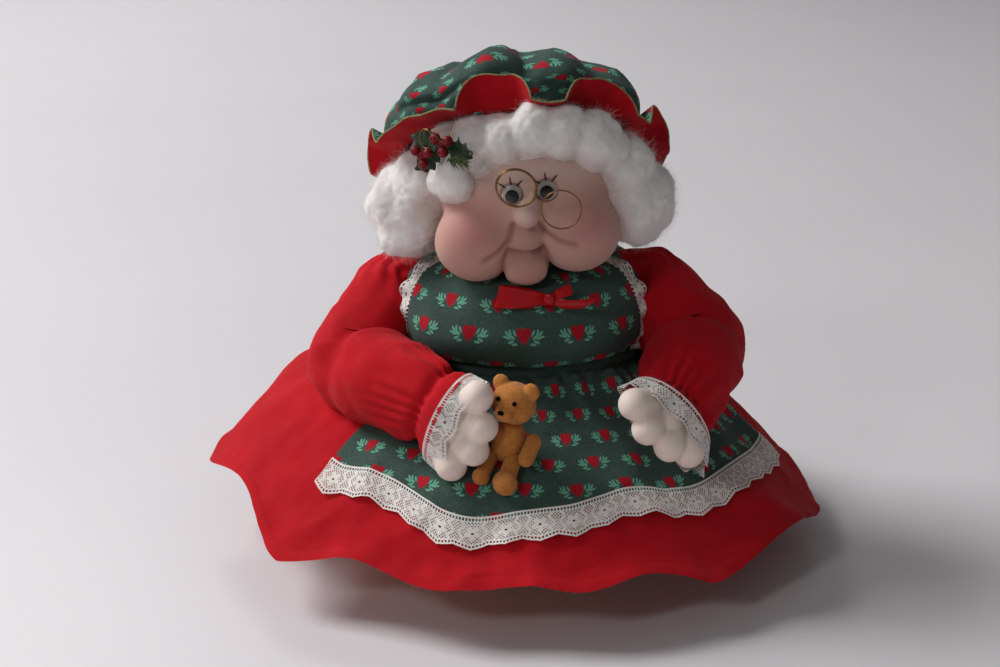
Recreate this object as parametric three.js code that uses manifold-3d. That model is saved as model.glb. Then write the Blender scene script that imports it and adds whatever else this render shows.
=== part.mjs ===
// Nylon stocking doll: a seated granny in a red dress, print apron and mob cap, holding a small bear.
// Millimetres, +Z up. The doll faces -Y and its own left side is +X.
// The origin is the middle of the flat base that it sits on.

import * as THREE from "three";
import { mergeVertices } from "three/addons/utils/BufferGeometryUtils.js";
import Module from "manifold-3d";

const wasm = await Module();
wasm.setup();

// Clearances and sheet goods
const GAP = 0.35;
const CLOTH = 1.0;
const LACE = 0.8;
const FOLD_SHARPNESS = 1.4;
const MERGE_TOLERANCE = 1e-4;

// Base and weight
const BASE_RADIUS = 72;
const BASE_COVER = 1.2;
const BASE_BOARD = 2.5;
const BOARD_INSET = 2;
const PELLET_RADIUS = 44;
const PELLET_HEIGHT = 18;

// Stuffed body: half width, half depth and height at each station
const HIP_HALF_WIDTH = 98;
const HIP_HALF_DEPTH = 96;
const HIP_HEIGHT = 40;
const WAIST_HALF_WIDTH = 58;
const WAIST_HALF_DEPTH = 52;
const WAIST_HEIGHT = 97;
const CHEST_HALF_WIDTH = 62;
const CHEST_HALF_DEPTH = 62;
const CHEST_HEIGHT = 116;
const SHOULDER_HALF_WIDTH = 54;
const SHOULDER_HALF_DEPTH = 54;
const SHOULDER_HEIGHT = 136;
const COLLAR_RADIUS = 20;
const COLLAR_HEIGHT = 143;

// Neck: a stem in the body and a ball in the head
const NECK_Y = -6;
const NECK_PIVOT_HEIGHT = 151;
const NECK_BALL_RADIUS = 14;
const NECK_STEM_RADIUS = 10;
const NECK_STEM_DEPTH = 16;

// Skirt: a gathered bell, with the angle of each fold's ridge and how far it stands out at the hem
const SKIRT_SEAM = 1.5;
const SKIRT_EASE = 1.1;
const HEM_RADIUS = 147;
const HEM_HEIGHT = 22;
const HEM_SIDE_SWAY = 2;
const HEM_SIDE_RISE = 4;
const HEM_FRONT_RISE = 9;
const SKIRT_PUFF = 0.75;
const SKIRT_PUFF_SKEW = 0.35;
const SKIRT_RIDGES = [
  [-168, 7], [-128, 7], [-88, 7], [-46, 6], [-14, 1.5], [10, 1.5], [34, 4], [80, 4.5], [136, 7],
];
const SKIRT_RIDGE_DROP = 0.9;
const HEM_CORNER_RISE = 14;

// Apron
const BAND_WIDTH = 6;
const BAND_THICKNESS = 2;
const BIB_THICKNESS = 2.5;
const BIB_HALF_ANGLE = 60;
const BIB_HEIGHT = 37.5;
const APRON_RIGHT_ANGLE = -52.5;
const APRON_LEFT_ANGLE = 84;
const APRON_REACH = 0.67;
const APRON_SIDE_RISE = 0.2;
const APRON_LACE_REACH = 0.13;
const APRON_TOP = 0.99;
const STRAP_WIDTH = 15;
const STRAP_THICKNESS = 1.2;
const STRAP_LACE_WIDTH = 1.9;

// Bows of ribbon and sash
const NECK_BOW_HALF_SPAN = 22;
const NECK_BOW_HEIGHT = 10;
const NECK_BOW_X = 9;
const NECK_BOW_LIFT = 2;
const NECK_BOW_DROP = 2.5;
const SASH_BOW_HALF_SPAN = 32;
const SASH_BOW_HEIGHT = 18;

// Arms: each shoulder, its elbow measured from the bear in the lap, and the way its cuff points
const SHOULDER_RIGHT = [-62, -4, 127];
const ELBOW_RIGHT = [-73, 61, 17];
const SHOULDER_LEFT = [64, -4, 128];
const ELBOW_LEFT = [91, 63, 24];
const SLEEVE_RADII = [16, 21, 23, 24, 23, 22, 19];
const SHOULDER_LIFT = 30;
const LIFT_STEP = 7.5;
const WRIST_RADIUS = 8;
const WRIST_PLUG = 6;
const CUFF_AIM_RIGHT = [0.7, -0.63, -0.33];
const CUFF_AIM_LEFT = [-0.36, -0.91, -0.19];
const FLOUNCE_RADIUS = 22;
const CUFF_LENGTH = 8;
const CUFF_FLATNESS = 0.58;
const CUFF_FLARE = 3;
const CUFF_WAVES = 8;
const CUFF_WAVE_HEIGHT = 1;

// Hands: a row of four stuffed lobes on a palm, measured from the bear
const FINGER_RADIUS = 7.4;
const FINGERS_RIGHT = [[-14, -8, 24], [-12, -9, 10], [-16, -9, -1], [-26, -7, -9]];
const FINGERS_LEFT = [[56, -7, 20], [62, -9, 9], [72, -9, 1], [81, -6, -3]];
const FINGER_SPREAD = 0.55;
const PALM_RADIUS = 9;

// Places along the arm, measured back from the middle of the fingers
const PALM_BACK = 8;
const FLOUNCE_BACK = 20;
const WRIST_BACK = 31;

// Head: a stuffed skull with sewn lobes, measured from its middle
const HEAD_CENTRE = [1, -22, 186];
const HEAD_ROLL = 3;
const SKULL_RADII = [45, 43, 40];
const CHEEK_RADII = [20, 17, 19];
const CHEEK_RIGHT = [-24, -28, -22.5];
const CHEEK_LEFT = [24, -28, -20];
const NOSE_RADII = [5.8, 8, 6.2];
const NOSE = [1.2, -43.5, -8];
const LIP_RADII = [8.2, 7, 5.6];
const LIP = [0.3, -42, -20.5];
const CHIN_RADII = [11.5, 9.5, 8];
const CHIN = [-1.2, -36, -34.5];

// Eyes: a white disc, a loose black disc and a clear dome
const EYE_RADIUS = 4.7;
const EYE_BACK = 0.8;
const EYE_SINK = 1.4;
const EYE_DOME_HEIGHT = 3;
const EYE_DOME_WALL = 0.5;
const DOME_RIM = 1;
const PUPIL_RADIUS = 2.7;
const PUPIL_THICKNESS = 0.6;
const EYE_RIGHT = [-5.6, 1.3];
const EYE_LEFT = [9.8, 2.5];

// Spectacles of one bent wire
const LENS_RADIUS = 9;
const LENS_SPACING = 22.4;
const SPECTACLES_WIRE = 1;
const SPECTACLES_TILT = 29;
const SPECTACLES_CENTRE = [6.4, 0.5];
const BRIDGE_DIP = 1.5;

// Hair: fluffy rolls round the face and nape
const HAIR_PUFF_RADII = [22, 24, 22];
const HAIR_PUFF_RIGHT = [-55, 4, -13];
const HAIR_PUFF_LEFT = [49, -6, -13];
const FRINGE_RADIUS = 13;
const FRINGE_HALF_SPAN = 40;
const FRINGE_HEIGHT = 22.5;
const FRINGE_FRONT = -31;
const FRINGE_BOW = 10;
const NAPE_RADIUS = 12;
const NAPE_HALF_SPAN = 34;
const NAPE_BACK = 37;
const NAPE_HEIGHT = -5;
const NAPE_BOW = 8;

// Mob cap: a puffed crown gathered on elastic, with a lined ruffle
const CAP_OFFSET = [-3, 19.5, 7.2];
const CAP_TILT = 32;
const CAP_BRIM_RADIUS = 56;
const CAP_PUFF_RADIUS = 62;
const CAP_PUFF_HEIGHT = 14;
const CAP_HEIGHT = 40;
const CAP_CREASES = [
  [-176, 3], [-140, 3], [-104, 3], [-72, 3.5], [-36, 3.5], [4, 5], [42, 4], [84, 3], [132, 3],
];
const CREASE_GAIN = 1.7;
const ELASTIC_WIRE = 2.4;
const ELASTIC_EASE = 1.5;
const RUFFLE_WIDTH = 18;
const RUFFLE_WAVES = 10;
const RUFFLE_WAVE_HEIGHT = 5;
const RUFFLE_DROOP = 4;

// Holly sprig on a curl of hair at the right temple
const CURL_CENTRE = [-31, -29, 8];
const CURL_RADIUS = 14;
const SPRIG_SPOT = [-38, -37, 18];
const LEAF_LENGTH = 16;
const LEAF_WIDTH = 8;
const LEAF_THICKNESS = 1.2;
const LEAF_ANGLES = [-5, 170, 215];
const BERRY_RADIUS = 2.6;
const PINE_LENGTH = 13;
const PINE_RADIUS = 3.5;
const SPRIG_WIRE = 1;
const SPRIG_WIRE_LOOP = 4.5;

// Bear: a small flocked figure with pegged limbs, its middle set above the lap under its feet
const BEAR_SPOT = [-7, -95];
const BEAR_RISE = 21.3;
const BEAR_YAW = -28;
const BEAR_LEAN = 8;
const BEAR_BODY_RADII = [8.5, 8, 11];
const BEAR_HEAD_RADIUS = 9.8;
const BEAR_HEAD_RISE = 19.5;
const BEAR_MUZZLE_RADIUS = 4.4;
const BEAR_EAR_RADIUS = 3.8;
const BEAR_EYE_RADIUS = 1.1;
const BEAR_NOSE_RADIUS = 1.3;
const BEAR_ARM_RADIUS = 3.4;
const BEAR_ARM_LENGTH = 9.4;
const BEAR_LEG_RADIUS = 4.4;
const BEAR_LEG_LENGTH = 13;
const BEAR_ARM_SWING = 30;
const BEAR_LEG_SWING = 15;

// Mesh fineness
const BODY_COLUMNS = 24;
const SKIRT_FOLD_STEPS = 6;
const SKIRT_ROWS = 5;
const CREASE_STEPS = 4;
const STRAP_STEPS = 11;
const BLOB_AROUND = 12;
const BLOB_ALONG = 8;
const RING_POINTS = 10;
const SKULL_AROUND = 16;
const SKULL_ALONG = 11;
const SMALL_AROUND = 8;
const SMALL_ALONG = 6;
const WAVE_POINTS = 4;
const WIRE_SIDES = 5;
const WIRE_STEPS = 16;

// Plain helpers
const UP = new THREE.Vector3(0, 0, 1);
const SIDEWAYS = new THREE.Vector3(1, 0, 0);
const radians = THREE.MathUtils.degToRad;
const mix = THREE.MathUtils.lerp;
const vector = (values) => new THREE.Vector3(...values);

function evenly(start, end, count) {
  return Array.from({ length: count + 1 }, (_, index) => mix(start, end, index / count));
}

function bearing(angle, acrossRadius, alongRadius, height) {
  return new THREE.Vector3(acrossRadius * Math.sin(angle), -alongRadius * Math.cos(angle), height);
}

// Finishes
function finish(color, roughness, metalness = 0) {
  return new THREE.MeshStandardMaterial({ color, roughness, metalness });
}
const redCotton = () => finish(0xa51c26, 0.85);
const greenPrint = () => finish(0x2f4a42, 0.85);
const whiteLace = () => finish(0xf4f1ea, 0.9);
const nylonSkin = () => finish(0xe2a488, 0.6);
const whiteHair = () => finish(0xf2efe9, 1);
const redSatin = () => finish(0xb5121f, 0.35);
const goldWire = () => finish(0xb88746, 0.3, 1);
const whitePlastic = () => finish(0xf5f5f2, 0.35);
const clearPlastic = () => finish(0xe8eef0, 0.1);
const blackPlastic = () => finish(0x0c0c0d, 0.25);
const bearFlock = () => finish(0x9a6a34, 0.95);
const hollyGreen = () => finish(0x1e4a2a, 0.5);
const berryRed = () => finish(0xb01018, 0.3);
const card = () => finish(0x9b7b55, 0.9);
const muslin = () => finish(0xd8c6ae, 0.9);

// Closed geometry from points and triangles, with shared points merged and faces turned outward
function closedGeometry(points, triangles) {
  const geometry = new THREE.BufferGeometry().setFromPoints(points);
  geometry.setIndex(triangles);
  return cleaned(geometry);
}

function cleaned(source) {
  const bare = source.clone();
  bare.deleteAttribute("normal");
  bare.deleteAttribute("uv");
  const merged = mergeVertices(bare, MERGE_TOLERANCE);
  const index = merged.index.array;
  const kept = [];
  for (let first = 0; first < index.length; first += 3) {
    const [a, b, c] = index.slice(first, first + 3);
    if (a !== b && b !== c && c !== a) kept.push(a, b, c);
  }
  merged.setIndex(signedVolume(merged, kept) < 0 ? kept.reverse() : kept);
  return merged;
}

function signedVolume(geometry, triangles) {
  const corner = (index) => new THREE.Vector3().fromBufferAttribute(geometry.attributes.position, index);
  let volume = 0;
  for (let first = 0; first < triangles.length; first += 3) {
    const [a, b, c] = triangles.slice(first, first + 3).map(corner);
    volume += a.dot(b.cross(c)) / 6;
  }
  return volume;
}

// Joins and cuts
function manifold(geometry) {
  const vertProperties = new Float32Array(geometry.attributes.position.array);
  const triVerts = new Uint32Array(geometry.index.array);
  return new wasm.Manifold(new wasm.Mesh({ numProp: 3, vertProperties, triVerts }));
}

function geometryOf(solid) {
  const mesh = solid.getMesh();
  const geometry = new THREE.BufferGeometry();
  geometry.setAttribute("position", new THREE.BufferAttribute(mesh.vertProperties.slice(), 3));
  geometry.setIndex(Array.from(mesh.triVerts));
  return geometry;
}

function join(...pieces) {
  return geometryOf(pieces.map(manifold).reduce((whole, piece) => whole.add(piece)));
}

function cut(piece, ...tools) {
  return geometryOf(tools.map(manifold).reduce((rest, tool) => rest.subtract(tool), manifold(piece)));
}

// The largest body of a cut piece, without slivers left on the far side of a cut
function mainBody(piece) {
  const bodies = manifold(piece).decompose();
  return geometryOf(bodies.reduce((best, body) => (body.volume() > best.volume() ? body : best)));
}

// A piece cut clear of fixed neighbours through a whole swing about a pivot
function cutThroughSwing(piece, neighbours, pivot, axis, degrees, step) {
  const angles = evenly(0, degrees, Math.round(Math.abs(degrees) / step));
  const tools = angles.flatMap((angle) => neighbours.map((tool) => turnedAbout(tool, pivot, axis, -angle)));
  return mainBody(cut(piece, ...tools));
}

function turnedAbout(geometry, pivot, axis, degrees) {
  const turn = new THREE.Matrix4().makeRotationAxis(axis, radians(degrees));
  const there = new THREE.Matrix4().makeTranslation(pivot);
  const back = new THREE.Matrix4().makeTranslation(pivot.clone().negate());
  return geometry.clone().applyMatrix4(there.multiply(turn).multiply(back));
}

function moved(geometry, group) {
  group.updateMatrix();
  return geometry.clone().applyMatrix4(group.matrix);
}

// Rounded blobs, turned solids, tubes, lofts and sheets
function blob(centre, radii, grow = 0, around = BLOB_AROUND, along = BLOB_ALONG) {
  const sphere = new THREE.SphereGeometry(1, around, along).rotateX(Math.PI / 2);
  return cleaned(sphere.scale(...radii.map((radius) => radius + grow)).translate(...centre));
}

function ball(centre, radius, grow = 0) {
  return blob(centre, [radius, radius, radius], grow, SMALL_AROUND, SMALL_ALONG);
}

function turned(profile, segments) {
  const points = profile.map(([radius, height]) => new THREE.Vector2(radius, height));
  return cleaned(new THREE.LatheGeometry(points, segments).rotateX(Math.PI / 2));
}

function disc(radius, bottom, top, segments) {
  return turned([[0, bottom], [radius, bottom], [radius, top], [0, top]], segments);
}

function capsule(from, to, radius, grow = 0) {
  const span = to.clone().sub(from);
  const bar = new THREE.CapsuleGeometry(radius + grow, span.length(), 2, SMALL_AROUND);
  const barAxis = new THREE.Vector3(0, 1, 0);
  const toSpan = new THREE.Quaternion().setFromUnitVectors(barAxis, span.clone().normalize());
  const middle = from.clone().add(to).multiplyScalar(0.5);
  return cleaned(bar.applyQuaternion(toSpan).translate(...middle));
}

function tube(curve, radius, steps) {
  const section = new THREE.Shape();
  section.setFromPoints(evenly(0, 2 * Math.PI, WIRE_SIDES).slice(0, WIRE_SIDES).map(
    (angle) => new THREE.Vector2(radius * Math.cos(angle), radius * Math.sin(angle)),
  ));
  return cleaned(new THREE.ExtrudeGeometry(section, { extrudePath: curve, steps, curveSegments: 1 }));
}

function loft(rings) {
  const columns = rings[0].length;
  const points = rings.flat();
  const triangles = [];
  for (let row = 0; row < rings.length - 1; row++) {
    for (let column = 0; column < columns; column++) {
      const next = (column + 1) % columns;
      const a = row * columns + column;
      const b = row * columns + next;
      triangles.push(a, b, b + columns, a, b + columns, a + columns);
    }
  }
  for (const row of [0, rings.length - 1]) {
    const middle = points.length;
    const sum = rings[row].reduce((total, point) => total.add(point), new THREE.Vector3());
    points.push(sum.divideScalar(columns));
    for (let column = 0; column < columns; column++) {
      const a = row * columns + column;
      const b = row * columns + ((column + 1) % columns);
      triangles.push(...(row === 0 ? [middle, b, a] : [middle, a, b]));
    }
  }
  return closedGeometry(points, triangles);
}

// Closed sheet between two point grids; with wrap, each row runs round and meets itself
function sheet(outer, inner, wrap) {
  const rows = outer.length;
  const columns = outer[0].length;
  const below = rows * columns;
  const spans = wrap ? columns : columns - 1;
  const at = (row, column) => row * columns + (column % columns);
  const triangles = [];
  const wall = (a, b) => triangles.push(a, b, b + below, a, b + below, a + below);
  for (let row = 0; row < rows - 1; row++) {
    for (let column = 0; column < spans; column++) {
      const a = at(row, column);
      const b = at(row, column + 1);
      const c = at(row + 1, column + 1);
      const d = at(row + 1, column);
      triangles.push(a, b, c, a, c, d);
      triangles.push(a + below, c + below, b + below, a + below, d + below, c + below);
    }
    if (!wrap) {
      wall(at(row, 0), at(row + 1, 0));
      wall(at(row + 1, columns - 1), at(row, columns - 1));
    }
  }
  for (let column = 0; column < spans; column++) {
    wall(at(0, column + 1), at(0, column));
    wall(at(rows - 1, column), at(rows - 1, column + 1));
  }
  return closedGeometry([...outer.flat(), ...inner.flat()], triangles);
}

// Points of a surface at a distance along its normal
function offsetPoint(surface, across, along, distance) {
  const nudge = 1e-3;
  const low = along < 0 ? along - nudge : Math.max(along - nudge, 0);
  const high = along > 1 ? along + nudge : Math.min(along + nudge, 1);
  const sideways = surface(across + nudge, along).sub(surface(across - nudge, along));
  const upward = surface(across, high).sub(surface(across, low));
  const normal = sideways.cross(upward).normalize();
  return surface(across, along).addScaledVector(normal, distance);
}

function gridOf(surface, angles, rows, distance) {
  return rows.map((along) => angles.map((angle) => offsetPoint(surface, angle, along, distance)));
}

function layer(surface, angles, rows, from, thickness, wrap) {
  const outer = gridOf(surface, angles, rows, from + thickness);
  const inner = gridOf(surface, angles, rows, from);
  return sheet(outer, inner, wrap);
}

function anglesAround(columns) {
  return evenly(0, 2 * Math.PI, columns).slice(0, columns);
}

function anglesBetween(start, end, columns) {
  return evenly(radians(start), radians(end), Math.max(1, Math.round(((end - start) * columns) / 360)));
}

// Folds round a piece: a list of angles in degrees, each with the height of its fold
function foldsAround(folds) {
  const [firstAngle, firstHeight] = folds[0];
  return [...folds, [firstAngle + 360, firstHeight]];
}

// Height of the folds at an angle: each listed angle is a sharp edge, with a round belly up to the next
function foldHeight(folds, angle) {
  const start = radians(folds[0][0]);
  const turned = start + THREE.MathUtils.euclideanModulo(angle - start, 2 * Math.PI);
  const edges = foldsAround(folds);
  const next = Math.max(1, edges.findIndex(([edge]) => radians(edge) > turned));
  const [[low, lowHeight], [high, highHeight]] = [edges[next - 1], edges[next]];
  const share = (turned - radians(low)) / radians(high - low);
  const belly = Math.sin(Math.PI * share) ** FOLD_SHARPNESS;
  return mix(lowHeight, highHeight, share) * (1 - 2 * belly);
}

function foldAngles(folds, steps) {
  const edges = foldsAround(folds);
  return folds.flatMap(([low], index) => (
    evenly(radians(low), radians(edges[index + 1][0]), steps).slice(0, steps)
  ));
}

// Body surface: stations from the base to the collar
const bodyBottom = BASE_COVER + BASE_BOARD + 2 * GAP;
const bodyProfile = new THREE.CatmullRomCurve3([
  new THREE.Vector3(BASE_RADIUS, BASE_RADIUS, bodyBottom),
  new THREE.Vector3(HIP_HALF_WIDTH, HIP_HALF_DEPTH, HIP_HEIGHT),
  new THREE.Vector3(WAIST_HALF_WIDTH, WAIST_HALF_DEPTH, WAIST_HEIGHT),
  new THREE.Vector3(CHEST_HALF_WIDTH, CHEST_HALF_DEPTH, CHEST_HEIGHT),
  new THREE.Vector3(SHOULDER_HALF_WIDTH, SHOULDER_HALF_DEPTH, SHOULDER_HEIGHT),
  new THREE.Vector3(COLLAR_RADIUS, COLLAR_RADIUS, COLLAR_HEIGHT),
]);
const STATIONS = 5;
const ROWS_PER_STATION = 2;
const WAIST_ROW_STEP = 0.04;
const bodyRows = evenly(0, 1, STATIONS * ROWS_PER_STATION);
const waistRow = 2 / STATIONS;
const shoulderRow = 4 / STATIONS;
const bodyAngles = anglesAround(BODY_COLUMNS);
const BODY_ROW_LENGTH = (COLLAR_HEIGHT - WAIST_HEIGHT) / (1 - waistRow);

function bodySurface(angle, along) {
  const station = bodyProfile.getPoint(along);
  return bearing(angle, station.x, station.y, station.z);
}

// Body row at a height above the waist
function bodyRowAt(height) {
  let low = waistRow;
  let high = 1;
  for (let step = 0; step < 30; step++) {
    const middle = (low + high) / 2;
    if (bodyProfile.getPoint(middle).z < height) low = middle;
    else high = middle;
  }
  return low;
}

// Skirt surface: hem at 0, waist at 1
const skirtTop = WAIST_HEIGHT - SKIRT_SEAM;
const skirtAngles = foldAngles(SKIRT_RIDGES, SKIRT_FOLD_STEPS);
const skirtRows = evenly(0, 1, SKIRT_ROWS);

function skirtSurface(angle, along) {
  const fall = 1 - along;
  const puff = SKIRT_PUFF * (1 - Math.cos(angle)) * 0.5 * (1 - SKIRT_PUFF_SKEW * Math.sin(angle));
  const ridge = foldHeight(SKIRT_RIDGES, angle) * fall;
  const hemRadius = HEM_RADIUS - HEM_SIDE_SWAY * Math.sin(angle) + ridge;
  const frontRise = HEM_FRONT_RISE * Math.max(Math.cos(angle), 0) ** 4;
  const cornerRise = HEM_CORNER_RISE * Math.max(-Math.sin(angle), 0) ** 6;
  const level = HEM_HEIGHT - HEM_SIDE_RISE * Math.sin(angle) + frontRise + cornerRise;
  const hemHeight = level - SKIRT_RIDGE_DROP * ridge;
  const spread = mix(fall, Math.sin((fall * Math.PI) / 2), puff);
  const drop = mix(fall, 1 - Math.cos((fall * Math.PI) / 2), puff);
  const seat = CLOTH + SKIRT_EASE;
  const across = mix(WAIST_HALF_WIDTH + seat, hemRadius, spread);
  const deep = mix(WAIST_HALF_DEPTH + seat, hemRadius, spread);
  return bearing(angle, across, deep, mix(skirtTop, hemHeight, drop));
}

// Height of the skirt at a spot seen from above
function lapHeight(across, ahead) {
  const angle = Math.atan2(across, ahead);
  let low = 0;
  let high = 1;
  for (let step = 0; step < 30; step++) {
    const middle = (low + high) / 2;
    const spot = skirtSurface(angle, middle);
    if (Math.hypot(spot.x, spot.y) > Math.hypot(across, ahead)) low = middle;
    else high = middle;
  }
  return skirtSurface(angle, low).z;
}

function envelope(surface, angles, rows, distance) {
  return loft(gridOf(surface, angles, rows, distance));
}

const apronOffset = GAP;
const lapEnvelope = envelope(skirtSurface, skirtAngles, skirtRows, apronOffset + CLOTH + GAP);

// The scene graph: one group, with nested groups for the turned assemblies
const doll = new THREE.Group();

function place(name, geometry, material, group = doll) {
  const mesh = new THREE.Mesh(geometry, material);
  mesh.name = name;
  group.add(mesh);
  return mesh;
}

// Base: a card disc in a cloth cover, below the stuffed body
function addBase() {
  const coverInside = BASE_RADIUS - CLOTH;
  const boardBottom = BASE_COVER + GAP;
  const rim = boardBottom + BASE_BOARD;
  place("base_cover", turned([
    [0, 0],
    [BASE_RADIUS, 0],
    [BASE_RADIUS, rim],
    [coverInside, rim],
    [coverInside, BASE_COVER],
    [0, BASE_COVER],
  ], BODY_COLUMNS), redCotton());
  const boardRadius = coverInside - BOARD_INSET;
  place("base_board", disc(boardRadius, boardBottom, rim, BODY_COLUMNS), card());
}

// Neck: its ball sits in the head and its stem in the body
const neckPivot = new THREE.Vector3(0, NECK_Y, NECK_PIVOT_HEIGHT);
const neckBottom = COLLAR_HEIGHT - NECK_STEM_DEPTH;

function neckSolid(grow) {
  const stem = disc(NECK_STEM_RADIUS + grow, neckBottom - grow, NECK_PIVOT_HEIGHT, BLOB_AROUND);
  return join(stem.translate(0, NECK_Y, 0), blob(neckPivot, Array(3).fill(NECK_BALL_RADIUS), grow));
}

// Body: stuffed muslin with a bag of pellets in a pocket over the base
function pelletSolid(grow, bottom) {
  const radius = PELLET_RADIUS + grow;
  const top = bodyBottom + GAP + PELLET_HEIGHT + grow;
  const shoulder = PELLET_HEIGHT / 3;
  return turned([
    [0, bottom],
    [radius, bottom],
    [radius, top - shoulder],
    [radius - shoulder, top],
    [0, top],
  ], BODY_COLUMNS);
}

function addBody() {
  const pocket = pelletSolid(GAP, 0);
  const stuffed = envelope(bodySurface, bodyAngles, stuffedRows, 0);
  place("torso", cut(stuffed, pocket, neckSolid(GAP)), muslin());
  place("pellet_bag", pelletSolid(0, bodyBottom + GAP), muslin());
  place("neck", neckSolid(0), nylonSkin());
}

// Dress: bodice over the chest and the flared skirt
const bodiceOffset = GAP;
const bandMiddleRow = bodyRowAt(WAIST_HEIGHT + BAND_WIDTH / 2);
const bandTopRow = bodyRowAt(WAIST_HEIGHT + BAND_WIDTH);
const bibBottomRow = bodyRowAt(WAIST_HEIGHT + BAND_WIDTH + GAP);
const bibTopRow = bodyRowAt(WAIST_HEIGHT + BAND_WIDTH + BIB_HEIGHT);
const bandRows = [waistRow, bandMiddleRow, bandTopRow];
const bibRows = [bibBottomRow, ...bodyRows.filter((row) => row > bibBottomRow && row < bibTopRow), bibTopRow];
const bodiceRows = [...bandRows, ...bibRows, ...bodyRows.filter((row) => row > bibTopRow && row < 0.97)];
const hipRows = bodyRows.filter((row) => row < waistRow - 0.01);
const stuffedRows = [...hipRows, waistRow - WAIST_ROW_STEP, ...bodiceRows, 1];

function addDress() {
  const bodice = layer(bodySurface, bodyAngles, bodiceRows, bodiceOffset, CLOTH, true);
  place("dress_bodice", bodice, redCotton());
  place("dress_skirt", layer(skirtSurface, skirtAngles, skirtRows, -CLOTH, CLOTH, true), redCotton());
}

// Apron: waistband, bib, lap panel with lace, and shoulder straps with lace
const trimOffset = bodiceOffset + CLOTH + GAP;
const bibAngles = anglesBetween(-BIB_HALF_ANGLE, BIB_HALF_ANGLE, BODY_COLUMNS);

function apronBandSolid() {
  return layer(bodySurface, bodyAngles, bandRows, trimOffset, BAND_THICKNESS, true);
}

function bibSolid() {
  return layer(bodySurface, bibAngles, bibRows, trimOffset, BIB_THICKNESS, false);
}

// The bib grown by the gap on every side
function bibClearSolid() {
  const aside = (2 * GAP) / CHEST_HALF_WIDTH;
  const last = bibAngles.length - 1;
  const angles = bibAngles.map((angle, index) => angle + (index === last ? aside : index === 0 ? -aside : 0));
  const past = GAP / BODY_ROW_LENGTH;
  const rows = [bibBottomRow - past, ...bibRows.slice(1, -1), bibTopRow + past];
  return layer(bodySurface, angles, rows, trimOffset - GAP, BIB_THICKNESS + 2 * GAP, false);
}

// Row of the apron's lower edge, which curves up towards both sides
function apronHem(angle) {
  const middle = radians(APRON_RIGHT_ANGLE + APRON_LEFT_ANGLE) / 2;
  const halfSpan = radians(APRON_LEFT_ANGLE - APRON_RIGHT_ANGLE) / 2;
  return 1 - APRON_REACH + APRON_SIDE_RISE * ((angle - middle) / halfSpan) ** 2;
}

function addApron() {
  place("apron_waistband", apronBandSolid(), greenPrint());
  place("apron_bib", bibSolid(), greenPrint());
  const [start, end] = [radians(APRON_RIGHT_ANGLE), radians(APRON_LEFT_ANGLE)];
  const angles = [start, ...skirtAngles.filter((angle) => angle > start && angle < end), end];
  const panel = (angle, along) => skirtSurface(angle, mix(apronHem(angle), APRON_TOP, along));
  place("apron_skirt", layer(panel, angles, evenly(0, 1, 3), apronOffset, CLOTH, false), greenPrint());
  const laceTop = GAP / (HEM_RADIUS - WAIST_HALF_WIDTH);
  const lace = (angle, along) => skirtSurface(angle, apronHem(angle) - mix(APRON_LACE_REACH, laceTop, along));
  place("apron_lace", layer(lace, angles, evenly(0, 1, 1), apronOffset, LACE, false), whiteLace());
}

// Strap from the bib's top corner, over the shoulder and down the back to the waistband
function strapPath(side, across, reach) {
  const angle = side * mix(radians(BIB_HALF_ANGLE), Math.PI - radians(BIB_HALF_ANGLE) * 0.6, reach);
  const along = shoulderRow + across / BODY_ROW_LENGTH;
  const down = THREE.MathUtils.smoothstep(reach, 0.72, 1);
  return [angle, mix(along, bibBottomRow + 0.01 + across / BODY_ROW_LENGTH, down)];
}

function strapGrid(side, offset) {
  const halfWidth = STRAP_WIDTH / 2;
  return evenly(0, 1, STRAP_STEPS).map((reach) => evenly(-halfWidth, halfWidth, 2).map((across) => {
    const [angle, along] = strapPath(side, across, reach);
    return offsetPoint(bodySurface, angle, along, offset);
  }));
}

function strapSolid(side) {
  const outer = strapGrid(side, trimOffset + STRAP_THICKNESS);
  const thick = sheet(outer, strapGrid(side, bodiceOffset), false);
  return mainBody(cut(thick, bodiceClear, bandClear, bibClearSolid()));
}

// Lace frill standing along the side of the bib, from the waistband to the shoulder
function strapLaceSolid(side) {
  const near = side * (radians(BIB_HALF_ANGLE) + (LACE + 2 * GAP) / CHEST_HALF_WIDTH);
  const far = near + side * LACE / CHEST_HALF_WIDTH;
  const rows = evenly(bibBottomRow, shoulderRow - STRAP_WIDTH / BODY_ROW_LENGTH, 5);
  const rise = [trimOffset, trimOffset + STRAP_LACE_WIDTH];
  const face = (angle) => rows.map((along) => rise.map((d) => offsetPoint(bodySurface, angle, along, d)));
  return sheet(face(far), face(near), false);
}

const SIDES = [["right", -1], ["left", 1]];

function addStraps() {
  for (const [sideName, side] of SIDES) {
    place(`apron_strap_${sideName}`, strapSolid(side), greenPrint());
    place(`strap_lace_${sideName}`, strapLaceSolid(side), whiteLace());
  }
}

// Bow of two loops and two tails round a knot, facing -Y, centred on its knot
function bowSolid(halfSpan, height, depth) {
  const knot = blob([0, 0, 0], [height * 0.32, depth * 0.6, height * 0.36], 0, SMALL_AROUND, SMALL_ALONG);
  const parts = [knot];
  for (const side of [-1, 1]) {
    const loopRadii = [halfSpan * 0.42, depth * 0.42, height * 0.42];
    const loop = blob([side * halfSpan * 0.52, 0, height * 0.1], loopRadii, 0, SMALL_AROUND, SMALL_ALONG);
    const tailRadii = [halfSpan * 0.3, depth * 0.25, height * 0.22];
    const tail = blob([side * halfSpan * 0.36, 0, -height * 0.36], tailRadii, 0, SMALL_AROUND, SMALL_ALONG);
    parts.push(loop, tail);
  }
  return join(...parts);
}

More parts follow.
